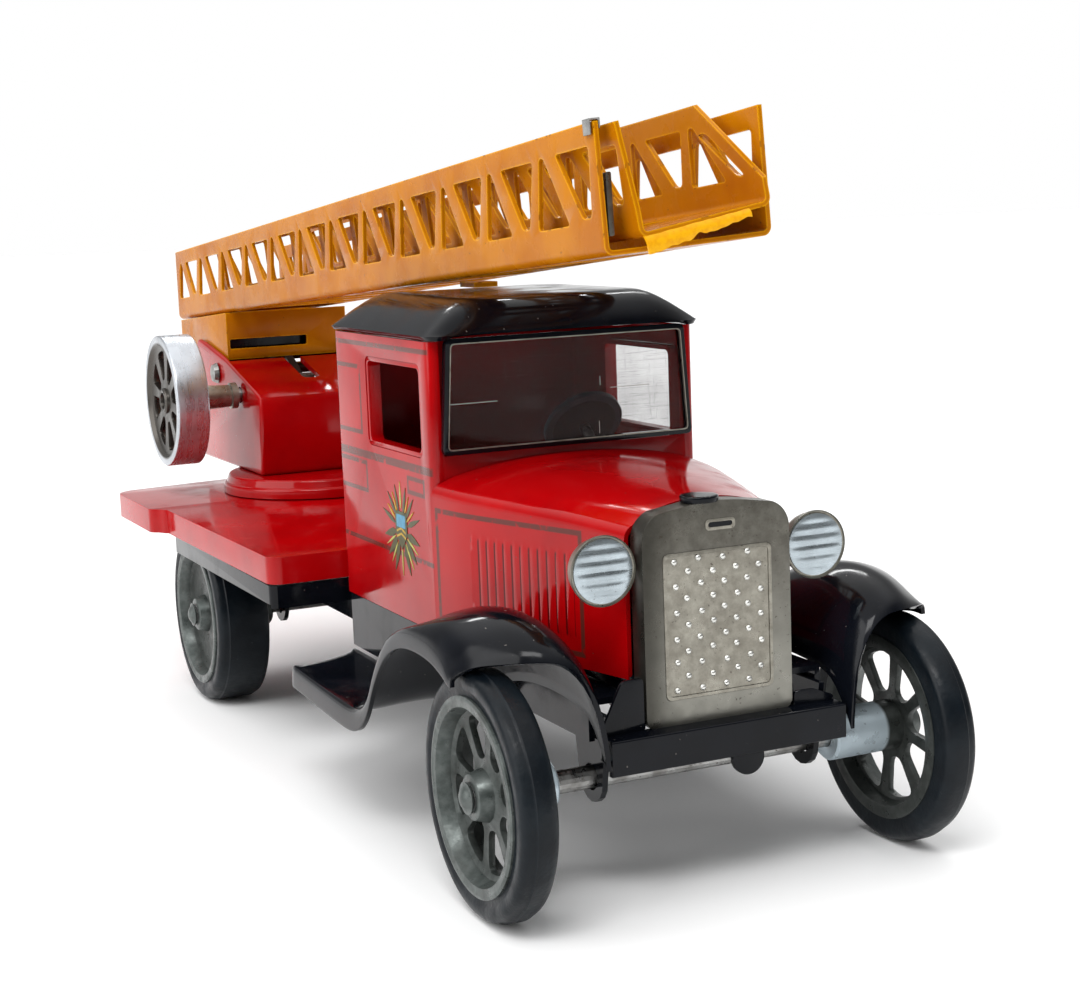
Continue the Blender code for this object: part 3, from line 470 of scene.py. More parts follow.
def louvre_shade_mask(finish, first, pitch, count, low, high):
    """Painted shade in the step between the ridges of a row of louvres."""
    start = FRONT_AXLE_Y + (first - 0.5 * pitch) * MM
    wave = finish.math("DIVIDE", finish.math("SUBTRACT", finish.y, start), pitch * MM)
    turn = finish.away(finish.math("FRACT", wave), 0.5)
    return finish.times(finish.span(turn, 0.37, 0.46), finish.span(wave, 0.0, 0.05),
                        finish.span(wave, count - 0.05, count, 1.0, 0.0),
                        finish.span(finish.z, low * MM, (low + 0.6) * MM),
                        finish.span(finish.z, (high - 0.6) * MM, high * MM, 1.0, 0.0))


def disc_mask(finish, centre, radius):
    """Mask inside a radius (metres) about a wheel's axis along X."""
    across = finish.math("SUBTRACT", finish.y, centre[0])
    upwards = finish.math("SUBTRACT", finish.z, centre[1])
    squares = finish.math("ADD", finish.times(across, across), finish.times(upwards, upwards))
    return finish.span(finish.math("SQRT", squares), radius, radius + 0.0006, 1.0, 0.0)


def red_lacquer(name, stripes=(), louvres=None, beyond=0.0):
    """Baked red enamel; printed lines show only further out than beyond (millimetres)."""
    finish = Finish(name, RED, Specular_IOR_Level=0.28)
    finish.blotch(RED_DEEP, 1.0, 45, 4, 0.35, 0.7)
    finish.blotch((0.42, 0.006, 0.005), 0.15, 260, 5, 0.52, 0.75, stretch=(1, 1, 2.4))
    if stripes:
        sides = finish.span(finish.math("ABSOLUTE", finish.x), beyond * MM,
                            (beyond + 0.3) * MM)
        worn = finish.clouds(500, 3, 0.28, 0.42)
        finish.lay(STRIPE, finish.times(stripe_mask(finish, stripes), worn, sides), 0.9)
    if louvres:
        # Painted shade: dark red lines in the steps between the pressed louvre ridges.
        finish.lay((0.07, 0.002, 0.002), louvre_shade_mask(finish, *louvres), 0.9)
    finish.blotch((0.10, 0.04, 0.03), 1.0, 1300, 2, 0.765, 0.785, rough=0.4)
    return finish.done(finish.clouds(120, 5, 0.4, 0.75, 0.09, 0.26), finish.noise(130, 3),
                       0.1, 0.0003)


def black_lacquer(name):
    """Blue-black gloss enamel with clouds of dust and fine chips."""
    finish = Finish(name, (0.0015, 0.002, 0.0035), Specular_IOR_Level=0.19)
    finish.blotch((0.004, 0.005, 0.008), 1.0, 60, 4, 0.35, 0.7)
    finish.blotch((0.05, 0.048, 0.045), 0.2, 420, 5, 0.6, 0.8, rough=0.7)
    finish.blotch((0.12, 0.11, 0.10), 1.0, 1500, 2, 0.76, 0.785, rough=0.4)
    return finish.done(finish.clouds(140, 5, 0.4, 0.75, 0.1, 0.26), finish.noise(130, 3),
                       0.1, 0.0003)


def yellow_lacquer(name):
    """Orange-yellow enamel, browned in patches, with a painted highlight along its edges, and
    chipped.
    """
    finish = Finish(name, (0.50, 0.172, 0.001), Specular_IOR_Level=0.1)
    finish.blotch((0.42, 0.126, 0.0008), 1.0, 70, 4, 0.35, 0.68)
    finish.blotch((0.26, 0.07, 0.006), 0.5, 330, 5, 0.62, 0.8, rough=0.7)
    edge_glint_and_chips = finish.edges(0.0006)
    # Painted highlight: a lighter yellow along the sharp edges, where light catches them; the
    # next line lays real chips there.
    finish.lay((0.88, 0.44, 0.004), edge_glint_and_chips, 0.8)
    finish.lay((0.12, 0.05, 0.012), finish.times(edge_glint_and_chips, finish.clouds(420, 3, 0.6, 0.66)))
    finish.blotch((0.09, 0.045, 0.02), 1.0, 1100, 3, 0.73, 0.75, rough=0.5)
    return finish.done(finish.clouds(160, 5, 0.35, 0.75, 0.2, 0.42), finish.noise(300, 4),
                       0.2, 0.0003)


def dull_tin(name, shine, painted_light=False):
    """Bare plated sheet gone grey-brown; when asked, paler low down as painted light and darker
    on the right as painted shade.
    """
    def shade(*colour):
        return tuple(shine * value for value in colour)

    finish = Finish(name, shade(0.14, 0.13, 0.108), Metallic=0.75, Specular_IOR_Level=0.5)
    finish.blotch(shade(0.25, 0.24, 0.205), 1.0, 520, 6, 0.25, 0.8, rough=0.7)
    finish.blotch(shade(0.11, 0.098, 0.078), 0.3, 80, 3, 0.45, 0.75)
    if painted_light:
        # Painted light low down and painted shade on the right side.
        finish.lay((0.30, 0.295, 0.26), finish.span(finish.z, 32 * MM, 60 * MM, 0.7, 0.0))
        finish.lay((0.03, 0.028, 0.022),
                   finish.span(finish.x, -13.2 * MM, -7.0 * MM, 0.85, 0.0))
    finish.blotch((0.05, 0.04, 0.03), 0.7, 1700, 3, 0.66, 0.72)
    return finish.done(finish.clouds(300, 5, 0.3, 0.75, 0.26, 0.46),
                       finish.noise(700, 4, rough=0.6), 0.1, 0.00025)


def bright_tin(name, stretch=(1.0, 1.0, 1.0), tint=(0.50, 0.535, 0.57), core=None):
    """Clouded plating, brushed along its stretch, and darker inside a wheel's core where one is
    given.
    """
    finish = Finish(name, tint, Metallic=0.85, Specular_IOR_Level=0.5)
    finish.blotch(tuple(0.62 * value for value in tint), 0.7, 150, 5, 0.35, 0.7)
    finish.blotch((0.10, 0.095, 0.09), 0.6, 1400, 3, 0.66, 0.74)
    if core:
        finish.lay((0.085, 0.078, 0.07), disc_mask(finish, *core))
    brushed = finish.noise(900, 4, stretch=stretch)
    return finish.done(finish.span(brushed, 0.3, 0.7, 0.22, 0.36), brushed, 0.05, 0.0002)


def rim_metal(name, boss=None):
    """Grey-green wheel metal, with painted shade deeper in towards the chassis, and a silver boss
    where given.
    """
    finish = Finish(name, (0.055, 0.066, 0.062), Metallic=0.45, Specular_IOR_Level=0.4)
    finish.blotch((0.115, 0.13, 0.124), 1.0, 400, 5, 0.32, 0.7, rough=0.65)
    finish.blotch((0.03, 0.031, 0.028), 0.6, 180, 4, 0.5, 0.75)
    depth = finish.math("ABSOLUTE", finish.x)
    # Painted shade: darker in the sunken web and further in, towards the chassis.
    finish.lay((0.018, 0.018, 0.016), finish.span(depth, 37.2 * MM, 39.6 * MM, 0.6, 0.0))
    if boss:
        behind_web = finish.span(depth, 33.6 * MM, 34.4 * MM, 1.0, 0.0)
        finish.lay((0.50, 0.59, 0.64), finish.times(disc_mask(finish, *boss), behind_web))
    return finish.done(finish.clouds(500, 4, 0.3, 0.7, 0.26, 0.46), finish.noise(800, 4),
                       0.2, 0.0002)


def rubber(name):
    """Blue-black tyre with greyed scuffs on the tread."""
    finish = Finish(name, (0.0025, 0.0045, 0.007), Specular_IOR_Level=0.2)
    finish.blotch((0.006, 0.0095, 0.013), 1.0, 160, 4, 0.35, 0.7)
    finish.blotch((0.12, 0.13, 0.135), 0.5, 330, 6, 0.63, 0.8, rough=0.75,
                  stretch=(0.6, 1, 1))
    return finish.done(finish.clouds(240, 5, 0.3, 0.75, 0.28, 0.52), finish.noise(700, 4),
                       0.3, 0.0003)


def steel(name):
    """Bare drawn steel with dark oxide specks."""
    finish = Finish(name, (0.40, 0.40, 0.39), Metallic=1.0, Specular_IOR_Level=0.5)
    finish.blotch((0.20, 0.195, 0.185), 1.0, 320, 5, 0.35, 0.7)
    finish.blotch((0.06, 0.045, 0.035), 1.0, 1500, 3, 0.64, 0.72)
    return finish.done(finish.clouds(700, 4, 0.3, 0.7, 0.25, 0.45), finish.noise(900, 4),
                       0.15, 0.0002)


def celluloid(name):
    """Clear window sheet with hairline scratches both ways and a little haze."""
    finish = Finish(name, (0.03, 0.014, 0.012, 1.0), Specular_IOR_Level=0.3)
    hairs = []
    for scale, stretch, distortion, level, width in (
            (260, (0.12, 1.0, 9.0), 0.4, 0.5, 0.012), (300, (7.0, 1.0, 0.2), 0.5, 0.62, 0.01)):
        wisps = finish.noise(scale, 2, stretch=stretch, distortion=distortion)
        hairs.append(finish.span(finish.away(wisps, level), 0.0, width, 1.0, 0.0))
    haze = finish.clouds(60, 4, 0.4, 0.75, 0.24, 0.36)
    scratches = finish.times(finish.math("MAXIMUM", *hairs), 0.22)
    finish.set(Alpha=finish.math("ADD", haze, scratches, clamp=True))
    return finish.done(0.06, finish.noise(90, 3), 0.05, 0.0003)


def speckled(name, tone, worn):
    """Plain colour with worn specks, for transfers, small parts and bare patches."""
    finish = Finish(name, tone, Roughness=0.35, Specular_IOR_Level=0.25)
    finish.blotch(worn, 0.5, 900, 4, 0.42, 0.66)
    return finish.set(Base_Color=finish.tone)


def pale_floor(name):
    finish = Finish(name, (0.95, 0.95, 0.95), Roughness=0.65, Specular_IOR_Level=0.2)
    finish.lay((0.98, 0.98, 0.98), finish.noise(9, 3))
    return finish.set(Base_Color=finish.tone)


# Printed lines of the cab: station, height, half length, half height and width of each one.
CAB_STRIPES = (
    (70.5, 66.5, 25.5, 19.0, 0.9),
    (70.5, 64.3, 25.5, 0.35, 0.8),
    (87.6, 74.7, 6.4, 6.3, 0.85),
    (87.0, 60.0, 7.4, 2.7, 0.85),
    (54.2, 60.9, 3.9, 1.3, 0.8),
)
HOOD_STRIPES = ((25.5, 48.0, 18.5, 10.0, 0.9),)
LOUVRES = (9.5, 2.1, 12, 40.5, 54.6)    # first station, pitch, count, lower and upper end

PAINT = {
    "red": red_lacquer("red_enamel"),
    "red_cab": red_lacquer("red_enamel_cab", CAB_STRIPES, beyond=26.1),
    "red_hood": red_lacquer("red_enamel_hood", HOOD_STRIPES, LOUVRES),
    "black": black_lacquer("black_enamel"),
    "yellow": yellow_lacquer("yellow_enamel"),
    # A lighter copy of the yellow enamel with worn specks; its lightness is a painted highlight
    # for the torn lip.
    "highlit_worn_yellow": speckled("highlit_worn_yellow", (0.86, 0.42, 0.003), (0.70, 0.25, 0.002)),
    "leaf_ink": speckled("leaf_ink", (0.07, 0.075, 0.03), (0.03, 0.04, 0.02)),
    "pale_ink": speckled("pale_ink", (0.45, 0.46, 0.12), (0.24, 0.25, 0.08)),
    "blue_ink": speckled("blue_ink", (0.08, 0.28, 0.42), (0.03, 0.12, 0.22)),
    "gold_ink": speckled("gold_ink", (0.50, 0.32, 0.03), (0.20, 0.12, 0.02)),
    "dull_tin": dull_tin("aged_tin", 0.62),
    "surround_tin": dull_tin("surround_tin", 0.62, True),
    "core_tin": dull_tin("grille_tin", 1.5),
    "stud_tin": bright_tin("stud_tin", tint=(0.82, 0.82, 0.78)),
    "bright_tin": bright_tin("silver_plate", (0.15, 1.0, 1.0)),
    "winding_tin": bright_tin("winding_plate", (1.0, 0.15, 0.15), (0.58, 0.61, 0.65),
                              (axis_of("handwheel"), 0.0138)),
    "lamp_glass": bright_tin("silvered_lens", (0.2, 1.0, 3.0), (0.50, 0.57, 0.61)),
    "rim": rim_metal("wheel_metal"),
    "front_rim": rim_metal("front_wheel_metal", (axis_of("front_axle"), 0.0046)),
    "rubber": rubber("tyre_rubber_worn"),
    "wheel_lacquer": speckled("wheel_lacquer", (0.035, 0.05, 0.07), (0.015, 0.022, 0.035)),
    "scratch": speckled("scratch", (0.50, 0.49, 0.47), (0.25, 0.24, 0.23)),
    "steel": steel("bare_steel"),
    # Near-black steel: painted shade for the toothed sector where it shows in the housing's slot.
    "shade_black_steel": speckled("shade_black_steel", (0.03, 0.028, 0.026), (0.012, 0.011, 0.01)),
    "window": celluloid("window_celluloid"),
    "trim": black_lacquer("black_trim"),
}
# Finishes of each material slot; CAD nodes of the slot get the first one.
SLOT_FINISHES = {
    "red_paint": ("red", "red_cab", "red_hood", "leaf_ink", "pale_ink", "blue_ink", "gold_ink"),
    "black_paint": ("black",),
    "yellow_paint": ("yellow", "highlit_worn_yellow"),
    "dull_tin": ("dull_tin", "surround_tin", "core_tin", "stud_tin"),
    "bright_tin": ("bright_tin", "winding_tin", "lamp_glass", "wheel_lacquer"),
    "rim_grey": ("rim", "front_rim"),
    "tyre_rubber": ("rubber",),
    "steel": ("steel", "shade_black_steel"),
    "window_clear": ("window", "scratch"),
    "screen_trim": ("trim",),
}


def paint_cad():
    """Give every CAD node the first finish of its slot, and the toothed sector near-black steel
    as painted shade.
    """
    for part in frame["record"]["subparts"]:
        data = frame["nodes"][part["node"]].data
        data.materials.clear()
        data.materials.append(PAINT[SLOT_FINISHES[part["material_slot"]][0]])
    # Painted shade: the sector is made near-black so the housing's slot reads dark.
    frame["nodes"]["elevation_sector"].data.materials[0] = PAINT["shade_black_steel"]


# ---------------------------------------------------------------- ladder

LADDER_SLOPE = math.radians(4.54)
LADDER_FRONT, LADDER_REAR = -1.0, 257.0
LADDER_LOW_AT_FRONT = 103.1
LADDER_HALF, LADDER_WALL = 15.0, 0.8
LADDER_TWIST = math.radians(4.0)
LOWER_LENGTH = (LADDER_REAR - LADDER_FRONT) / math.cos(LADDER_SLOPE)
UPPER_HALF, UPPER_LENGTH, UPPER_FRONT = 11.9, 228.0, -3.4
UPPER_CANT = math.radians(10.5)
UPPER_FOOT = (-10.5, 1.25)          # x and height of its right foot in the lower section
POST_LEAN, FIRST_BAY = 0.2, 1.14    # of the posts per height, and length of the first bay
NOSE_RUN, NOSE_LOW = 26.0, 4.5      # reach and lower end of a set-back top corner


def ladder_point(x, along, height):
    return to_world(x, LADDER_FRONT + along * math.cos(LADDER_SLOPE),
                    LADDER_LOW_AT_FRONT - along * math.sin(LADDER_SLOPE) + height)


def tilted(x, height, angle):
    """Turn a point of a cross-section about the ladder's length."""
    c, s = math.cos(angle), math.sin(angle)
    return x * c - height * s, x * s + height * c


def lower_place(along, height, x):
    """The lower section is slightly twisted towards its tip."""
    x, height = tilted(x, height, LADDER_TWIST * (1.0 - along / LOWER_LENGTH))
    return ladder_point(x, along, height)


def lower_end_on(x, height, along):
    return lower_place(along, height, x)


def upper_place(along, height, x):
    """The upper section lies canted in the lower one."""
    x, height = tilted(x + UPPER_HALF, height, UPPER_CANT)
    return ladder_point(UPPER_FOOT[0] + x, along + UPPER_FRONT, UPPER_FOOT[1] + height)


def lower_height(along):
    return 20.6 - 2.4 * along / LOWER_LENGTH


def upper_height(along):
    return 18.2 - 0.8 * along / UPPER_LENGTH


def leaned(along, height, foot):
    """Shift a point of the truss forwards with its height above the foot of the posts."""
    return (along - POST_LEAN * (height - foot), height)


def truss_windows(marks, height_at, foot, top_bar, post):
    """Rounded openings on both sides of each bay's diagonal, as (along, height) outlines."""
    windows = []
    bays = len(marks) - 1
    for k in range(bays):
        front = marks[k] + post * (0.5 if k else 1.0)
        rear = marks[k + 1] - post * (0.5 if k < bays - 1 else 1.0)
        clear = rear - front
        top = height_at(0.5 * (front + rear)) - top_bar
        behind = [(front + 0.43 * clear, foot), (rear, foot), (rear, top),
                  (rear - 0.08 * clear, top)]
        ahead = [(front + 0.05 * clear, foot + 0.6), (front + 0.2 * clear, foot + 0.6),
                 (front + 0.7 * clear, top), (front, top)]
        windows.append(rounded([leaned(a, h, foot) for a, h in behind], 0.9))
        windows.append(rounded([leaned(a, h, foot) if a > front + 1.0 or k else (a, h)
                                for a, h in ahead], 0.9))
    return windows


def ladder_rows(half, length, height_at, noses, place):
    """Cross-sections of a U-shaped sheet; noses are the top corners' set-backs."""
    corner, steps, nose_crease = 1.5, 60, 1.5
    rows = []
    for along in sorted([length * k / steps for k in range(steps + 1)] + [nose_crease]):
        top = height_at(along)
        fade = max(0.0, 1.0 - along / NOSE_RUN)
        wall = [(half, NOSE_LOW + (top - NOSE_LOW) * share)
                for share in (1.0, 0.75, 0.5, 0.25, 0.0)]
        row = []
        for x, z in both_sides(wall + arc((half - corner, corner), corner, 0, -90, 6)):
            share = max(0.0, (z - NOSE_LOW) / (top - NOSE_LOW))
            row.append(place(along + noses[x > 0] * share * fade, z, x))
        rows.append(row)
    return rows


def ladder_section(name, half, length, height_at, foot, bays, noses, place):
    """Ladder pressed from one sheet: truss openings in both walls, rungs in the floor."""
    post, rung, top_bar, edge = 2.5, 2.6, 3.4, 2.4
    piece = sheet(name, ladder_rows(half, length, height_at, noses, place), LADDER_WALL)
    bay = length / (bays - 1 + FIRST_BAY)
    marks = [0.0] + [(k + FIRST_BAY) * bay for k in range(bays)]
    windows = truss_windows(marks, height_at, foot, top_bar, post)
    punch(piece, windows, -half - 2, 0.0, place)
    if noses[1] > 5.0:
        windows[1] = rounded([(5.0, 5.4), (7.2, 5.4), (17.4, 13.4), (14.8, 13.4)], 1.2)
    punch(piece, windows, 0.0, half + 2, place)
    wide = half - LADDER_WALL - edge
    holes = []
    for front, rear in zip(marks[1:-2], marks[2:-1]):
        front, rear = front + rung / 2, rear - rung / 2
        holes.append(rounded([(front, -wide), (rear, -wide), (rear, wide), (front, wide)], 1.6))
    punch(piece, holes, -2.0, LADDER_WALL + 2.0,
          lambda along, x, height: place(along, height, x))
    return bevel(piece, 0.12, 2)


def torn_lip():
    """Front edge of the upper section's floor, bent down and torn."""
    rng = random.Random(3)
    steps, right, width, deepest, taper, ragged = 26, -11.2, 19.0, 3.0, 0.62, 0.22
    rows = []
    for k in range(steps + 1):
        x = right + width * k / steps
        drop = deepest * (1.0 - taper * k / steps) + rng.uniform(-ragged, ragged)
        if k in (12, 13):
            drop -= 0.7
        wave = 0.25 * math.sin(k * 1.3)
        section = ((0.9, 0.75 + 0.2 * wave), (0.1, 0.55), (-0.6 - 0.3 * wave, 0.1 - 0.4 * drop),
                   (-0.5, 0.2 - drop))
        rows.append([upper_place(along, height, x) for along, height in section])
    lip = sheet("torn_lip", rows, 0.5, 1)
    # The lip is painted a lighter yellow than the ladder: a painted highlight.
    dress(lip, "highlit_worn_yellow", body="upper_ladder", smooth_deg=60)


def ladder_fittings():
    """Folded steel clip on the right wall's front corner and the stop inside it."""
    top, skin = lower_height(0.0), 0.3
    outside, inside = -LADDER_HALF - 0.3, -LADDER_HALF + LADDER_WALL + 0.2
    outline = [(outside - skin, top - 2.0), (outside, top - 2.0), (outside, top + 0.2),
               (inside, top + 0.2), (inside, top - 1.2), (inside + skin, top - 1.2),
               (inside + skin, top + 0.5), (outside - skin, top + 0.5)]
    clip = plate("clip", [outline], 0.2, 2.6, lower_end_on)
    dress(bevel(clip, 0.15), "steel", "ladder_clip", "lower_ladder")
    outline = rounded([(-13.8, 3.0), (-12.9, 3.0), (-12.55, 12.8), (-13.5, 12.8)], 0.35)
    stop = plate("stop", [outline], 0.4, 2.6, lower_end_on)
    dress(bevel(stop, 0.3), "dull_tin", "ladder_stop", "lower_ladder")


def ladders():
    lower = ladder_section("truss_lower", LADDER_HALF, LOWER_LENGTH, lower_height, 5.6, 12,
                           (0.0, 0.0), lower_place)
    dress(lower, "yellow", "ladder_lower", "lower_ladder")
    upper = ladder_section("truss_upper", UPPER_HALF, UPPER_LENGTH, upper_height, 5.0, 11,
                           (1.5, 17.0), upper_place)
    dress(upper, "yellow", "ladder_upper", "upper_ladder")
    torn_lip()
    ladder_fittings()


# ---------------------------------------------------------------- platform and body work

def bed_outline(inset):
    """Plan of the platform: straight sides, a wider tail and a gently bowed rear edge."""
    half, tail = 42.0 - inset, 46.0 - inset
    front, step, rear = 96.3 + inset, 173.0 + inset, 210.0 - inset
    outline = arc((half - 3.0, front + 3.0), 3.0, -90, 0, 8)
    outline += arc((half - 0.6, step + 1.8), 2.4, -55, -15, 4)
    outline += arc((tail - 3.0, step + 5.0), 3.0, -60, 0, 5)
    outline += arc((tail - 6.0, rear - 4.0), 6.0, 0, 75, 8)
    outline += [(26.0, rear + 4.4), (12.0, rear + 6.2), (0.0, rear + 6.8)]
    return both_sides(outline)


def platform():
    """Red bed pressed from one sheet, and the black tray with wheel wells under it."""
    low, top, skin = 37.7, 43.2, 0.9
    bed = plate("platform", [bed_outline(0.0)], low - 3.0, top, along_z)
    bevel(bed, 1.1, 5, 60)
    punch(bed, [rectangle((-60, 60), (80, 230), 1.0)], low - 9.0, low, along_z)
    punch(bed, [bed_outline(skin)], low - 2.0, top - skin, along_z)
    dress(bed, "red", "bed_platform")
    low, floor, top = 32.8, 33.6, 37.4
    front, rear, half = 96.7, 171.5, 41.9
    open_rear = (front + skin, rear + 9)
    tray = plate("platform_tray", [rectangle((-half, half), (front, rear), 1.6)], low, top,
                 along_z)
    punch(tray, [rectangle((skin - half, half - skin), open_rear, 1.2)], floor + skin, top + 5,
          along_z)
    punch(tray, [rectangle((-50, 50), open_rear, 0.8)], low - 5, floor, along_z)
    punch(tray, [rectangle((-22, 22), (front - 5, front + 5), 0.5)], low - 5, floor, along_z)
    for side, _ in SIDES:
        well = rectangle(sorted((side * 27.0, side * 41.0)), (138.0, rear + 5), 2.0)
        punch(tray, [well], low - 5, top + 5, along_z)
    dress(tray, "black", "bed_tray")


def cab():
    """Walls with two door windows and an open front, and a flange round each window."""
    half, front, rear = 26.6, 46.0, 95.0
    low, top, sill, wall = 35.3, 87.3, 66.4, 1.1
    shell = plate("cab_walls", [rectangle((-half, half), (front, rear), 1.5)], low, top,
                  along_z)
    inside = rectangle((wall - half, half - wall), (front + wall, rear - wall), 0.8)
    punch(shell, [inside], low - 5, top + 5, along_z)
    punch(shell, [rectangle((50.0, 77.8), (sill, 83.3), 1.6)], -40, 40, along_x)
    screen = rectangle((-24.4, 24.4), (sill + 0.6, top + 9), 0.6)
    punch(shell, [screen], front - 5, front + 4, along_y)
    punch(shell, [circle((0, 0), 1.35, 24)], -28, -10, on_column)
    dress(bevel(shell, 0.25), "red_cab", "cab_shell")
    for side, label in SIDES:
        low_x, high_x = sorted((side * 26.45, side * 23.9))
        flange = plate("window_flange_" + label,
                       [rectangle((50.05, 77.75), (sill + 0.05, 83.25), 1.55),
                        rectangle((50.9, 76.9), (sill + 0.9, 82.4), 1.1)],
                       low_x, high_x, along_x)
        dress(bevel(flange, segments=2), "red")


def roof_height(x, station):
    """Nearly flat crown that falls away at both sides and curls over at both ends."""
    base, crown = 88.3, 6.1
    flat, shoulder = 17.0, 10.2
    centre, half = 70.1, 26.7
    across = 1.0 - (max(0.0, abs(x) - flat) / shoulder) ** 1.55
    along = max(0.0, 1.0 - abs((station - centre) / half) ** 12) ** 0.8
    return base + crown * across * along


def roof():
    """Crowned roof with rolled ends, denser rows where it curls over."""
    half, front, rear, corner = 27.2, 43.4, 96.8, 3.0
    steps = 36

    def spread(k):
        return math.sin(0.5 * math.pi * (2.0 * k / steps - 1.0))

    rows = []
    for i in range(steps, -1, -1):
        station = 0.5 * (front + rear) + 0.5 * (rear - front) * spread(i)
        short = max(0.0, corner - min(station - front, rear - station))
        share = (half - corner + math.sqrt(max(0.0, corner ** 2 - short ** 2))) / half
        rows.append([to_world(half * spread(j) * share, station,
                              roof_height(half * spread(j), station))
                     for j in range(steps, -1, -1)])
    shell = sheet("roof", rows, 0.9)
    dress(bevel(shell, 0.25, 3, 60), "black", "cab_roof", smooth_deg=60)


def screen_outline(inset, radius=1.2):
    """Outline of the windscreen, a little narrower at the top."""
    low, high = 67.3 + inset, 87.7 - inset
    return rounded([(24.9 - inset, low), (23.7 - inset, high), (inset - 23.7, high),
                    (inset - 24.9, low)], radius)


def windscreen():
    """Black frame with a pale bead along its inner edge as a painted highlight, and a scratched
    pane.
    """
    trim = plate("screen_frame", [screen_outline(0.0), screen_outline(0.95, 0.8)],
                 44.2, 45.6, along_y)
    dress(bevel(trim, 0.3), "trim", "windshield_frame")
    # Painted highlight: a thin pale strip along the frame's inner edge.
    bead = plate("screen_highlight_bead", [screen_outline(0.8, 0.9), screen_outline(0.98, 0.8)],
                 44.0, 44.5, along_y)
    dress(bead, "core_tin")
    marks = [((-23.2, -14.0), (76.15, 76.27)), ((8.5, 16.5), (76.9, 77.0)),
             ((6.4, 6.5), (77.5, 79.2)), ((6.0, 6.1), (68.8, 71.0))]
    scratches = [rectangle(x_range, z_range, 0.04) for x_range, z_range in marks]
    dress(plate("pane_scratches", scratches, 44.8, 44.88, along_y), "scratch")
    pane = plate("screen_pane", [screen_outline(1.05, 0.8)], 44.9, 45.1, along_y)
    dress(pane, "window", "windshield_pane")


def hood():
    """Engine cover, open underneath, with a row of pressed louvres on each side.

    Each row holds a station, half width, lower edge, corner height and crown height.
    """
    rows = [(-2.6, 13.5, 35.6, 59.3, 62.6), (10.0, 17.2, 35.8, 60.2, 63.3),
            (24.0, 21.4, 36.0, 60.8, 64.0), (36.0, 24.7, 36.2, 61.2, 64.6),
            (45.65, 26.3, 36.3, 61.5, 65.0)]
    first, pitch, count, louvre_low, louvre_high = LOUVRES
    radius, ridge_height, end, side_steps, crown_steps = 1.3, 0.32, 1.2, 26, 10
    grid = []
    for station, half, low, corner, crown in smooth_rows(rows, 36):
        section = []
        for k in range(side_steps + 1):
            z = low + (corner - radius - low) * k / side_steps
            turn = (station - first) / pitch
            ridge = 0.0
            if -0.5 < turn < count - 0.5:
                rise = min(1.0, max(0.0, (z - louvre_low) / end))
                fall = min(1.0, max(0.0, (louvre_high - z) / end))
                share = turn + 0.5 - math.floor(turn + 0.5)
                ridge = ridge_height * share * rise * fall if share < 0.85 else 0.0
            section.append((half + ridge, z))
        section += arc((half - radius, corner - radius), radius, 7, 78, 6)
        for k in range(1, crown_steps + 1):
            x = (half - radius) * (1 - k / crown_steps)
            section.append((x, corner + (crown - corner) * (1 - (x / half) ** 2.2)))
        grid.append([to_world(x, station, z) for x, z in both_sides(section)])
    cover = sheet("engine_cover", grid, 0.9)
    dress(cover, "red_hood", "hood", smooth_deg=50)


def radiator_studs(station):
    """Raised studs in staggered rows, each a little out of place."""
    rng = random.Random(7)
    rows, columns, across, down, astray = 11, 4, 4.4, 2.06, 0.25
    mesh = bmesh.new()
    for row in range(rows):
        for column in range(columns):
            x = -7.7 + across * (column + 0.5 * (row % 2)) + rng.uniform(-astray, astray)
            z = 33.9 + down * row + rng.uniform(-astray, astray)
            place = Matrix.Translation(to_world(x, station, z))
            size = Matrix.Diagonal((0.56 * MM, 0.5 * MM, 0.56 * MM, 1.0))
            bmesh.ops.create_uvsphere(mesh, u_segments=14, v_segments=8, radius=1.0,
                                      matrix=place @ size)
    dress(unload("radiator_studs", mesh), "stud_tin")


def radiator():
    """Surround with a sunken, beaded field of studs, an empty badge slot and a cap."""
    front, rear = -7.0, -3.0
    edge, corner, shoulder = 13.4, 1.6, 4.6
    outline = arc((edge - corner, 28.0 + corner), corner, -90, 0, 5) + [(edge, 57.6)]
    outline += arc((edge - shoulder, 57.9), shoulder, 8, 70, 6) + [(4.5, 63.1), (0.0, 63.5)]
    shell = plate("radiator_surround", [both_sides(outline)], front, rear, along_y)
    bevel(shell, 1.9, 6, 60)
    punch(shell, [rectangle((-9.9, 9.9), (32.2, 55.8), 1.0)], front - 2, front + 0.6, along_y)
    dress(shell, "surround_tin", "radiator_shell")
    bead = plate("radiator_bead", [rectangle((-9.85, 9.85), (32.25, 55.75), 1.0),
                                   rectangle((-9.3, 9.3), (32.8, 55.2), 0.8)],
                 front - 0.12, front + 0.3, along_y)
    dress(bevel(bead, 0.15), "core_tin")
    core = plate("radiator_grille", [rectangle((-9.25, 9.25), (32.85, 55.15), 0.6)],
                 front + 0.05, front + 0.4, along_y)
    dress(core, "core_tin", "radiator_core")
    radiator_studs(front + 0.06)
    slot = plate("radiator_badge", [rectangle((-2.1, 3.3), (58.7, 60.5), 0.7),
                                    rectangle((-1.6, 2.8), (59.2, 60.0), 0.4)],
                 front - 0.15, front + 0.5, along_y)
    dress(bevel(slot, 0.15), "core_tin")
    pit = plate("badge_pit", [rectangle((-1.65, 2.85), (59.15, 60.05), 0.4)], front - 0.03,
                front + 0.4, along_y)
    dress(pit, "trim")
    cap = turned("radiator_lid", [(0.0, 64.3), (2.5, 64.25)]
                 + arc((2.8, 63.95), 0.3, 90, 0, 4) + [(3.1, 63.5), (3.0, 63.2), (0.0, 63.2)],
                 "Z", (-1.9, -4.9, 0.0), 48)
    dress(cap, "trim", "radiator_cap")


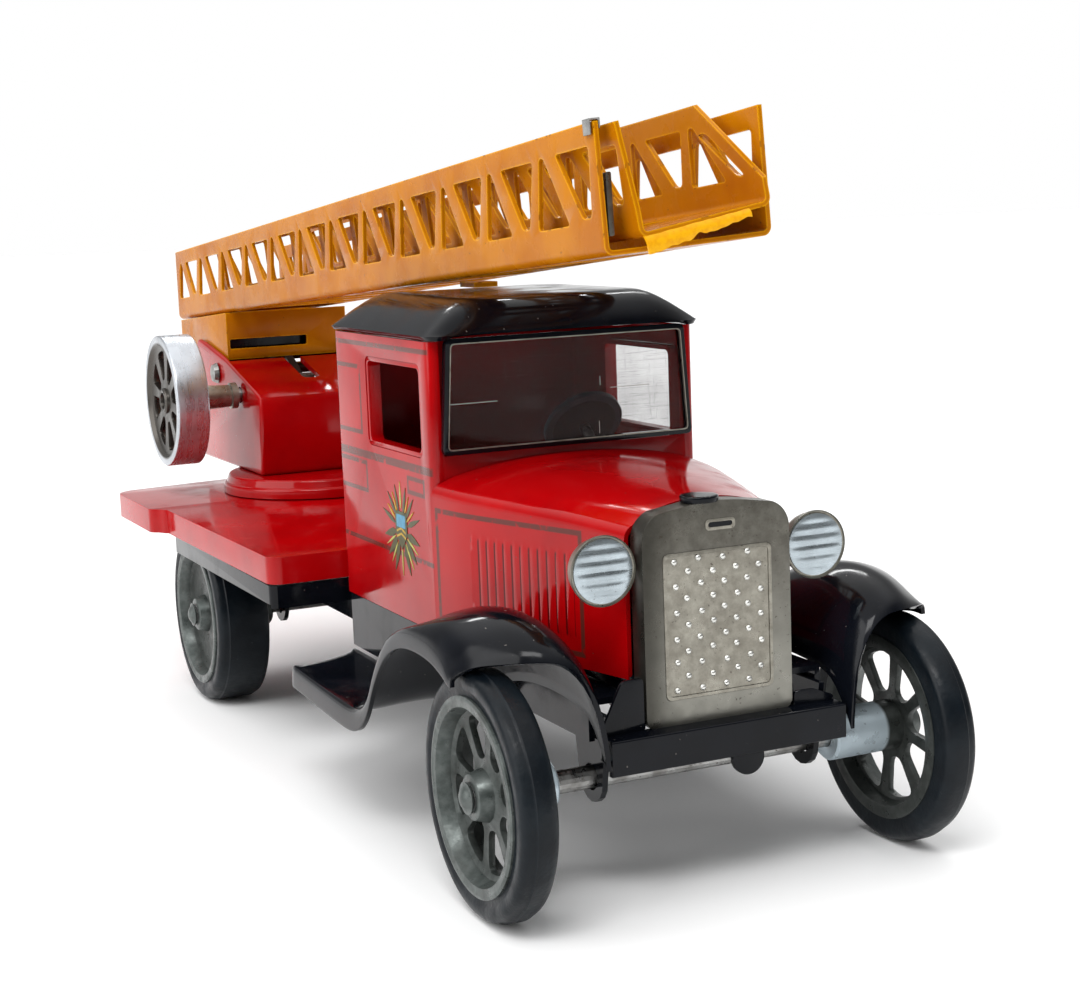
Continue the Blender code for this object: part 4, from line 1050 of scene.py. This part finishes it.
def headlights():
    """Lamp bowls with a rolled rim, and lenses pressed into horizontal flutes."""
    radius, front, rings = 5.65, -5.6, 16
    bulge, depth, pitch = 0.32, 0.2, 1.75
    for side, label in SIDES:
        centre = (side * 19.4, 0.0, 54.0)
        profile = [(0.0, front + 1.3), (radius - 0.6, front + 1.3)]
        profile += arc((radius - 0.35, front + 0.3), 0.35, 200, -20, 8)
        profile += [(radius - 0.1, front + 0.8)]
        profile += arc((0.0, front + 0.8), radius - 0.35, 4, 28, 8)
        profile += [(radius - 1.9, front + 3.25), (0.0, front + 3.3)]
        shell = turned("lamp_" + label, profile, "Y", centre, 64)
        dress(shell, "core_tin", "headlight_shell_" + label)
        lens_r = radius - 0.55
        profile = [(lens_r * k / rings, front) for k in range(rings + 1)]
        profile += [(lens_r, front + 0.95), (0.0, front + 0.95)]
        lens = bake(turned("lamp_lens_" + label, profile, "Y", centre, 72))

        def flute(x, station, z):
            if station > front + 0.4:
                return x, station, z
            away = math.hypot(x - centre[0], z - centre[2]) / lens_r
            dome = bulge * (1.0 - away ** 2)
            wave = depth * abs(math.sin(math.pi * (z - centre[2]) / pitch)) * (1.0 - away ** 6)
            return x, station + 0.22 - dome - wave, z

        dress(reshape(lens, flute), "lamp_glass", "headlight_lens_" + label, smooth_deg=60)


def mudguard(label, side, reach):
    """Front mudguard and running board pressed from one sheet, with a rolled outer lip.

    Each row is a cross-section from the outer lip over the crown to the inner wall: station
    and foot height of the lip, station and height of the crown, station, foot height and x
    of the inner wall, height of the lip, and how far the shoulders lie under the crown.
    """
    rows = [
        (1.5 - reach, 37.4 + 0.4 * reach, -9.6, 42.2, -11.0, 24.0, 21.9, 1.8, 0.6),
        (2.6 - 0.6 * reach, 37.5 + 0.4 * reach, -8.0, 44.6, -9.6, 26.5, 21.9, 2.0, 1.6),
        (5.0, 38.6, -2.5, 47.4, -5.0, 31.5, 22.0, 3.0, 1.8),
        (10.0, 39.9, 6.0, 48.5, 3.0, 33.0, 22.2, 3.3, 1.9),
        (17.5, 40.2, 16.0, 46.8, 14.0, 33.0, 22.6, 3.4, 1.8),
        (24.0, 39.2, 24.5, 43.2, 24.0, 31.0, 23.2, 3.4, 1.2),
        (30.5, 36.2, 31.0, 38.4, 31.0, 27.0, 23.9, 3.4, 0.5),
        (36.5, 30.0, 37.5, 31.8, 38.0, 22.8, 24.9, 3.6, 0.2),
        (41.0, 23.6, 43.0, 26.2, 44.0, 22.9, 25.8, 3.9, 0.1),
        (47.5, 19.6, 49.5, 23.9, 50.0, 23.3, 26.1, 4.2, 0.0),
        (60.0, 19.4, 61.0, 23.5, 62.0, 23.4, 26.1, 4.3, 0.0),
        (82.5, 20.4, 86.5, 23.7, 93.5, 23.6, 26.1, 4.3, 0.0),
    ]
    out = 43.0
    grid = []
    for lip_y, lip_z, mid_y, top, in_y, foot, in_x, lip, drop in smooth_rows(rows, 3):
        rise = lip_z + lip
        section = [
            (out, lip_y, lip_z),
            (out, lip_y, lip_z + 0.55 * lip),
            (out - 0.35, lip_y, rise),
            (out - 2.2, lip_y + 0.3 * (mid_y - lip_y), 0.25 * rise + 0.75 * (top - drop)),
            (38.6, lip_y + 0.55 * (mid_y - lip_y), top - drop),
            (33.0, mid_y, top),
            (27.6, mid_y + 0.55 * (in_y - mid_y), top - drop * 0.7),
            (in_x + 0.8, in_y - 0.1 * (in_y - mid_y), top - drop - 0.42 * (top - drop - foot)),
            (in_x, in_y, foot),
        ]
        grid.append([to_world(side * x, y, z) for x, y, z in section])
    if side > 0:
        grid = [list(reversed(row)) for row in grid]
    guard = sheet("guard_" + label, grid, 0.8, 2)
    dress(bevel(guard, 0.2, 2, 60), "black", "mudguard_" + label, smooth_deg=60)


def front_gear():
    """Angled cross member with its tow eye, plates at its ends and the stays of the lamps."""
    front, low, rear, top, skin = -10.4, 22.5, -6.0, 28.2, 0.9
    section = rounded([(front, low), (front + 1.2, low), (front + 1.2, top - skin),
                       (rear, top - skin), (rear, top), (front, top)], 0.35)
    dress(plate("apron", [section], -21.4, 21.4, along_x), "black", "front_apron")
    flank = [(-6.2, 27.9), (-2.8, 27.9), (16.0, 33.0), (28.0, 35.0), (28.0, 37.0),
             (-2.4, 36.4), (-6.2, 31.5)]
    for (side, label), top_at in zip(SIDES, (36.6, 30.5)):
        low_x, high_x = sorted((side * 13.3, side * 14.1))
        cheek = plate("chassis_cheek_" + label, [rounded(flank, 0.8)], low_x, high_x, along_x)
        dress(bevel(cheek), "black")
        corners = ((21.4, 24.0), (13.8, 24.0), (13.8, top_at), (17.5, top_at), (21.4, 29.0))
        ear = plate("apron_ear_" + label, [rounded([(side * x, z) for x, z in corners], 0.8)],
                    -6.9, -6.3, along_y)
        dress(bevel(ear), "black")
        x_range, (y0, y1), z_range = limits("headlight_stay_" + label)
        strip = plate("lamp_stay_" + label, [rectangle(x_range, z_range, 0.4)], y0, y1, along_y)
        dress(bevel(strip), "black", "headlight_stay_" + label)
    eye = plate("tow_eye", [circle((3.0, 22.1), 2.9)], front + 0.2, front + 1.0, along_y)
    dress(bevel(eye), "black")


def petal(angle, start, length, width):
    """Slender leaf that points outwards at an angle in degrees from straight up."""
    turn = math.radians(angle)
    edge = [(start + length * share, half * width)
            for share, half in ((0.0, 0.15), (0.3, 1.0), (0.6, 0.8), (1.0, 0.05))]
    return [(half * math.cos(turn) - reach * math.sin(turn),
             half * math.sin(turn) + reach * math.cos(turn))
            for reach, half in edge + [(reach, -half) for reach, half in reversed(edge)]]


def door_ornament(side, label):
    """Printed ornament of a small shield between sprigs on one door."""
    station, height, skin, ink_depth = 62.3, 52.0, 26.66, 0.04

    def print_shape(name, outlines, ink, lift=0.0):
        low, high = sorted((side * (skin - 0.15 + lift), side * (skin + ink_depth + lift)))
        piece = plate("door_%s_%s" % (name, label), outlines, low, high,
                      lambda a, b, depth: to_world(depth, station + a, height + b))
        dress(piece, ink)

    upper = [petal(angle, 3.0, 5.2 + 0.02 * abs(angle), 0.5)
             for angle in (-72, -45, -19, 19, 45, 72)]
    lower = [petal(angle, 2.6, 6.3, 0.8) for angle in (102, 128, 154, 206, 232, 258)]
    stems = [petal(angle, 3.2, 5.4, 0.22) for angle in (115, 141, 180, 219, 245)]
    print_shape("sprigs", upper, "leaf_ink")
    print_shape("rays", [petal(angle, 3.2, 4.6, 0.22) for angle in (-58, -32, 32, 58)],
                "gold_ink", 0.03)
    print_shape("leaves", lower, "leaf_ink")
    print_shape("stems", stems, "pale_ink", 0.03)
    print_shape("bud", [petal(0, 4.0, 5.0, 0.35)], "pale_ink")
    print_shape("shield", [rounded([(-2.9, 3.4), (2.9, 3.4), (2.9, -0.8), (0.0, -3.8),
                                    (-2.9, -0.8)], 0.5)], "leaf_ink", 0.03)
    print_shape("field", [rounded([(-2.2, 2.8), (2.2, 2.8), (2.2, 0.4), (-2.2, 0.4)], 0.3)],
                "blue_ink", 0.06)
    print_shape("bars", [[(-2.2, -0.2 - k), (0.0, 0.5 - k), (2.2, -0.2 - k),
                          (2.2, -0.6 - k), (0.0, 0.1 - k), (-2.2, -0.6 - k)]
                         for k in (0.0, 1.0)], "gold_ink", 0.06)


# ---------------------------------------------------------------- steering

STEER_HUB = (10.4, 60.5, 68.8)    # x, station and height of the steering wheel's hub


def on_column(a, b, depth):
    """Place a point of an outline drawn across the steering column."""
    hub = Matrix.Translation(to_world(*STEER_HUB))
    return hub @ Matrix.Rotation(math.radians(-52.0), 4, "X") @ (Vector((a, b, depth)) * MM)


def steering():
    """Four-spoked steering wheel with a dished back."""
    wheel = plate("steering_ring", [circle((0, 0), 7.8, 72)]
                  + spoke_windows((0, 0), 4, (2.2, 32), (6.0, 36), 0.0, 0.8),
                  -0.6, 0.6, on_column)
    dress(bevel(wheel, 0.4, 4), "wheel_lacquer", "steering_wheel", "steering")
    dish = plate("steering_dish", [circle((0, 0), 6.4, 72)], -0.75, -0.45, on_column)
    dress(dish, "rubber", body="steering")


# ---------------------------------------------------------------- wheels

def on_axle(node, side, profile, station, steps):
    """Turn a profile of (radius, distance from the middle) pairs about an axle."""
    return turned(node + "_fine", [(r, side * a) for r, a in profile], "X",
                  (0.0, station, 20.0), steps)


def tyre(node, side, inner, outer, station):
    """Tyre with rounded shoulders and a small step at each edge of its tread."""
    bore, radius = 15.9, 20.0
    profile = [(bore, inner), (bore + 1.6, inner)]
    profile += arc((radius - 1.6, inner + 1.3), 1.3, 270, 340, 5)
    profile += [(radius, inner + 1.7), (radius, outer - 2.3), (radius - 0.25, outer - 2.15),
                (radius - 0.3, outer - 1.9)]
    profile += arc((radius - 1.9, outer - 1.5), 1.5, 5, 90, 7)
    profile += [(bore + 1.3, outer), (bore + 0.9, outer - 0.3), (bore, outer - 0.3)]
    return on_axle(node, side, profile, station, 128)


def rim(node, side, inner, outer, station, boss_end, spokes):
    """Disc rim: rolled lip, sunken web with or without openings, raised hub, long boss."""
    bore, boss, lip, rim_r = 2.0, 4.3, 13.2, 15.9
    web_out, web_in = outer - 2.8, outer - 3.9
    profile = [(bore, boss_end), (boss - 0.4, boss_end), (boss, boss_end + 0.4),
               (boss, web_in), (lip, web_in), (lip + 0.5, inner - 0.2), (rim_r, inner - 0.2),
               (rim_r, outer + 0.1)]
    profile += arc((rim_r - 0.6, outer - 0.35), 0.6, 60, 120, 4)
    profile += [(lip + 0.9, outer + 0.1), (lip + 0.2, web_out + 0.5), (lip - 0.8, web_out),
                (boss + 1.0, web_out), (boss, web_out + 0.5), (3.6, outer - 0.1),
                (3.0, outer + 0.1), (bore, outer + 0.1)]
    wheel = on_axle(node, side, profile, station, 96)
    if spokes:
        windows = spoke_windows((station, 20.0), spokes, (5.8, 14.5), (12.7, 17.0), 8.0, 1.6)
        low, high = sorted((side * (web_in - 1.5), side * (web_out + 1.5)))
        punch(wheel, windows, low, high, along_x)
    return bevel(wheel, 0.18, 2)


def axle_cap(node, side, start, station):
    """Domed cap on an axle's end."""
    profile = [(0.0, start), (2.5, start), (2.6, start + 0.3)]
    profile += arc((0.0, start - 1.6), 2.9, 45, 90, 6)
    return on_axle(node, side, profile, station, 48)


def wheels(prefix, station, inner, outer, boss_ends, spokes):
    """Tyres, rims and axle caps of one axle."""
    body = prefix + "_wheels"
    for (side, label), boss_end in zip(SIDES, boss_ends):
        node = "%s_tyre_%s" % (prefix, label)
        dress(tyre(node, side, inner, outer, station), "rubber", node, body, smooth_deg=50)
        node = "%s_rim_%s" % (prefix, label)
        dress(rim(node, side, inner, outer, station, boss_end, spokes),
              "front_rim" if spokes else "rim", node, body)
        node = "%s_cap_%s" % (prefix, label)
        dress(axle_cap(node, side, outer + 0.5, station), "rim", node, body, 60)


# ---------------------------------------------------------------- turntable

def turntable_collar():
    low, bore, top, radius = 43.5, 2.35, 47.8, 24.0
    profile = [(bore, low), (radius, low)] + arc((radius - 0.9, low + 1.6), 0.9, 0, 80, 5)
    profile += arc((radius - 1.9, top - 0.7), 0.7, 10, 90, 5) + [(bore, top)]
    collar = turned("collar", profile, "Z", (0.0, centre_of("turntable_collar")[1], 0.0), 128)
    dress(collar, "red", "turntable_collar")


def turntable_housing():
    """Box open to the rear, with bores for the shaft, pin and rivet and a slot for the sector."""
    foot, half, skin = 47.85, 17.2, 1.0
    side_view = [(180.6, foot), (180.1, 49.6), (178.6, 65.0), (179.3, 66.9), (181.2, 67.7),
                 (208.8, 75.0), (226.0, 78.0), (231.6, 78.6), (233.4, 76.8), (233.4, 51.0),
                 (231.5, foot)]
    hollow = [(182.0, foot + 1.2), (180.2, 65.2), (182.0, 66.4), (205.6, 72.8),
              (205.6, 90.0), (245.0, 90.0), (245.0, foot + 1.2)]
    housing = plate("housing", [side_view], -half, half, along_x)
    bevel(housing, 0.8, 5)
    punch(housing, [hollow], skin - half, half - skin, along_x)
    for node, bore in (("handwheel", 2.05), ("hinge_pin", 1.85)):
        punch(housing, [circle(centre_of(node)[1:], bore)], -30, 30, along_x)
    punch(housing, [rectangle((-2.2, 2.2), (190.0, 207.0), 1.5)], 63.0, 90.0, along_z)
    rivet = circle((0.0, centre_of("turntable_collar")[1]), 2.35)
    punch(housing, [rivet], 40, 55, along_z)
    dress(housing, "red", "turntable_housing", "turntable")


def winding_wheel():
    """Handwheel with a broad band and eight windows, and the sleeve on its shaft."""
    outer, inner, band = -36.9, -29.2, 15.8
    web_out, web_in = outer + 1.2, outer + 2.6
    bore, boss, boss_end = 2.0, 3.1, -30.5
    axis = centre_of("handwheel")[1:]
    profile = [(bore, outer + 0.3), (2.6, outer + 0.2), (boss, outer + 0.6), (boss, web_out),
               (12.6, web_out), (13.4, web_out - 0.5), (13.8, outer)]
    profile += arc((band - 0.4, outer + 0.4), 0.4, -90, 0, 4)
    profile += arc((band - 0.4, inner - 0.4), 0.4, 0, 90, 4)
    profile += [(14.2, inner), (13.4, web_in), (boss, web_in), (boss, boss_end),
                (bore, boss_end)]
    wheel = turned("winding_wheel", profile, "X", (0.0, *axis), 96)
    windows = spoke_windows(axis, 8, (5.2, 12.0), (12.2, 15.0), 10.0, 1.4)
    punch(wheel, windows, web_out - 1.5, web_in + 1.5, along_x)
    dress(bevel(wheel, 0.15, 2), "winding_tin", "handwheel", "winding")
    profile = [(bore, -30.4), (3.0, -30.4), (3.1, -29.5), (2.7, -20.0), (3.2, -19.8),
               (3.2, -18.3), (bore, -18.2)]
    sleeve = turned("winding_sleeve", profile, "X", (0.0, *axis), 64)
    dress(sleeve, "core_tin", body="winding")


def cradle():
    """Cradle under the ladder's rear with a wide slot in its front wall."""
    half, wall, gap = 15.85, 0.9, 0.35
    front, rear = 208.4, 252.0
    pivot_y, pivot_z = centre_of("hinge_pin")[1:]

    def under(station):
        return LADDER_LOW_AT_FRONT - math.tan(LADDER_SLOPE) * (station - LADDER_FRONT) - gap

    lug = arc((pivot_y, pivot_z), 3.4, 200, 340, 12)
    side_view = [(front, 74.3), (210.2, 74.8)] + lug + [(222.0, 75.1), (rear, 75.3),
                                                        (rear, under(rear)),
                                                        (front, under(front))]
    hollow = [(front + wall, 60.0), (rear + 9.0, 60.0), (rear + 9.0, under(rear + 9) - wall),
              (front + wall, under(front + wall) - wall)]
    box = plate("cradle", [side_view], -half, half, along_x)
    punch(box, [hollow], wall - half, half - wall, along_x)
    punch(box, [rectangle((-15.1, 5.2), (77.0, 79.4), 0.4)], front - 3.0, front + 3.0, along_y)
    punch(box, [circle((pivot_y, pivot_z), 1.85)], -30, 30, along_x)
    dress(bevel(box, segments=2), "yellow", "ladder_cradle", "lower_ladder")
    # A black sheet inside the cradle behind its slot: painted shade, so the slot reads dark.
    web = plate("cradle_shade_sheet", [rectangle((-half + wall + 0.1, half - wall - 0.1),
                                         (73.2, under(212.4) - wall), 0.4)],
                211.5, 212.3, along_y)
    dress(web, "black", body="lower_ladder")


# ---------------------------------------------------------------- stage, light and camera

def soft_world():
    """White surroundings, dimmer low down on the viewer's side, and bright overhead."""
    world = bpy.data.worlds.new("studio")
    bpy.context.scene.world = world
    world.use_nodes = True
    sky = Patterns(world.node_tree, "Generated")
    behind = sky.span(sky.y, -0.45, 0.35, 0.14, 1.0)
    low_down = sky.span(sky.z, 0.10, 0.26, 1.0, 0.35)
    overhead = sky.span(sky.z, 0.35, 0.9, 0.0, 1.15)
    background = world.node_tree.nodes["Background"]
    background.inputs["Color"].default_value = (1.0, 1.0, 1.0, 1.0)
    sky.put(background.inputs["Strength"],
            sky.math("ADD", sky.times(behind, low_down), overhead))


def lamp(name, kind, strength, place, target, **shape):
    """Light of some kind at a place, aimed at a target; shape holds its own settings."""
    data = bpy.data.lights.new(name, kind)
    data.energy = strength
    for setting, value in shape.items():
        setattr(data, setting, value)
    light = bpy.data.objects.new(name, data)
    light.location = place
    light.rotation_euler = (Vector(target) - Vector(place)).to_track_quat("-Z", "Y").to_euler()
    bpy.context.scene.collection.objects.link(light)


def studio():
    """White paper floor, a soft box in front, a strip behind and an even light from the right."""
    mesh = bmesh.new()
    bmesh.ops.create_grid(mesh, x_segments=8, y_segments=8, size=6.0)
    floor = unload("floor", mesh)
    floor.data.materials.append(pale_floor("floor_paper"))
    soft_world()
    toy = (0.0, -0.02, 0.05)
    lamp("key", "AREA", 4.0, (-0.35, -0.55, 0.85), toy, shape="RECTANGLE", size=0.5, size_y=0.3)
    lamp("strip", "AREA", 3.5, (0.46, 1.0, 0.95), toy, shape="RECTANGLE", size=0.9, size_y=0.07)
    lamp("side_fill", "SUN", 1.5, (-1.0, -0.1, 0.55), (0.0, 0.0, 0.0), angle=math.radians(50))
    bpy.context.scene.view_settings.view_transform = "Standard"


def camera():
    """Stand where the photograph was taken from."""
    yaw, pitch, roll = (math.radians(angle) for angle in (24.86, -8.46, -2.19))
    data = bpy.data.cameras.new("camera")
    data.sensor_fit = "HORIZONTAL"
    data.sensor_width = 36.0
    data.lens = 64.72
    data.clip_start = 0.01
    eye = bpy.data.objects.new("camera", data)
    eye.matrix_world = (Matrix.Translation(to_world(-151.67, -268.75, 110.73))
                        @ Matrix.Rotation(-yaw, 4, "Z")
                        @ Matrix.Rotation(math.pi / 2 + pitch, 4, "X")
                        @ Matrix.Rotation(roll, 4, "Z"))
    bpy.context.scene.collection.objects.link(eye)
    bpy.context.scene.camera = eye


paint_cad()
platform()
cab()
roof()
windscreen()
hood()
radiator()
headlights()
mudguard("right", -1, 0.0)
mudguard("left", 1, 4.0)
front_gear()
for vehicle_side in SIDES:
    door_ornament(*vehicle_side)
steering()
wheels("front", 0.0, 34.8, 41.0, (27.5, 24.0), 8)
wheels("rear", 162.5, 28.5, 40.2, (23.0, 23.0), 0)
turntable_collar()
turntable_housing()
winding_wheel()
cradle()
ladders()
studio()
camera()
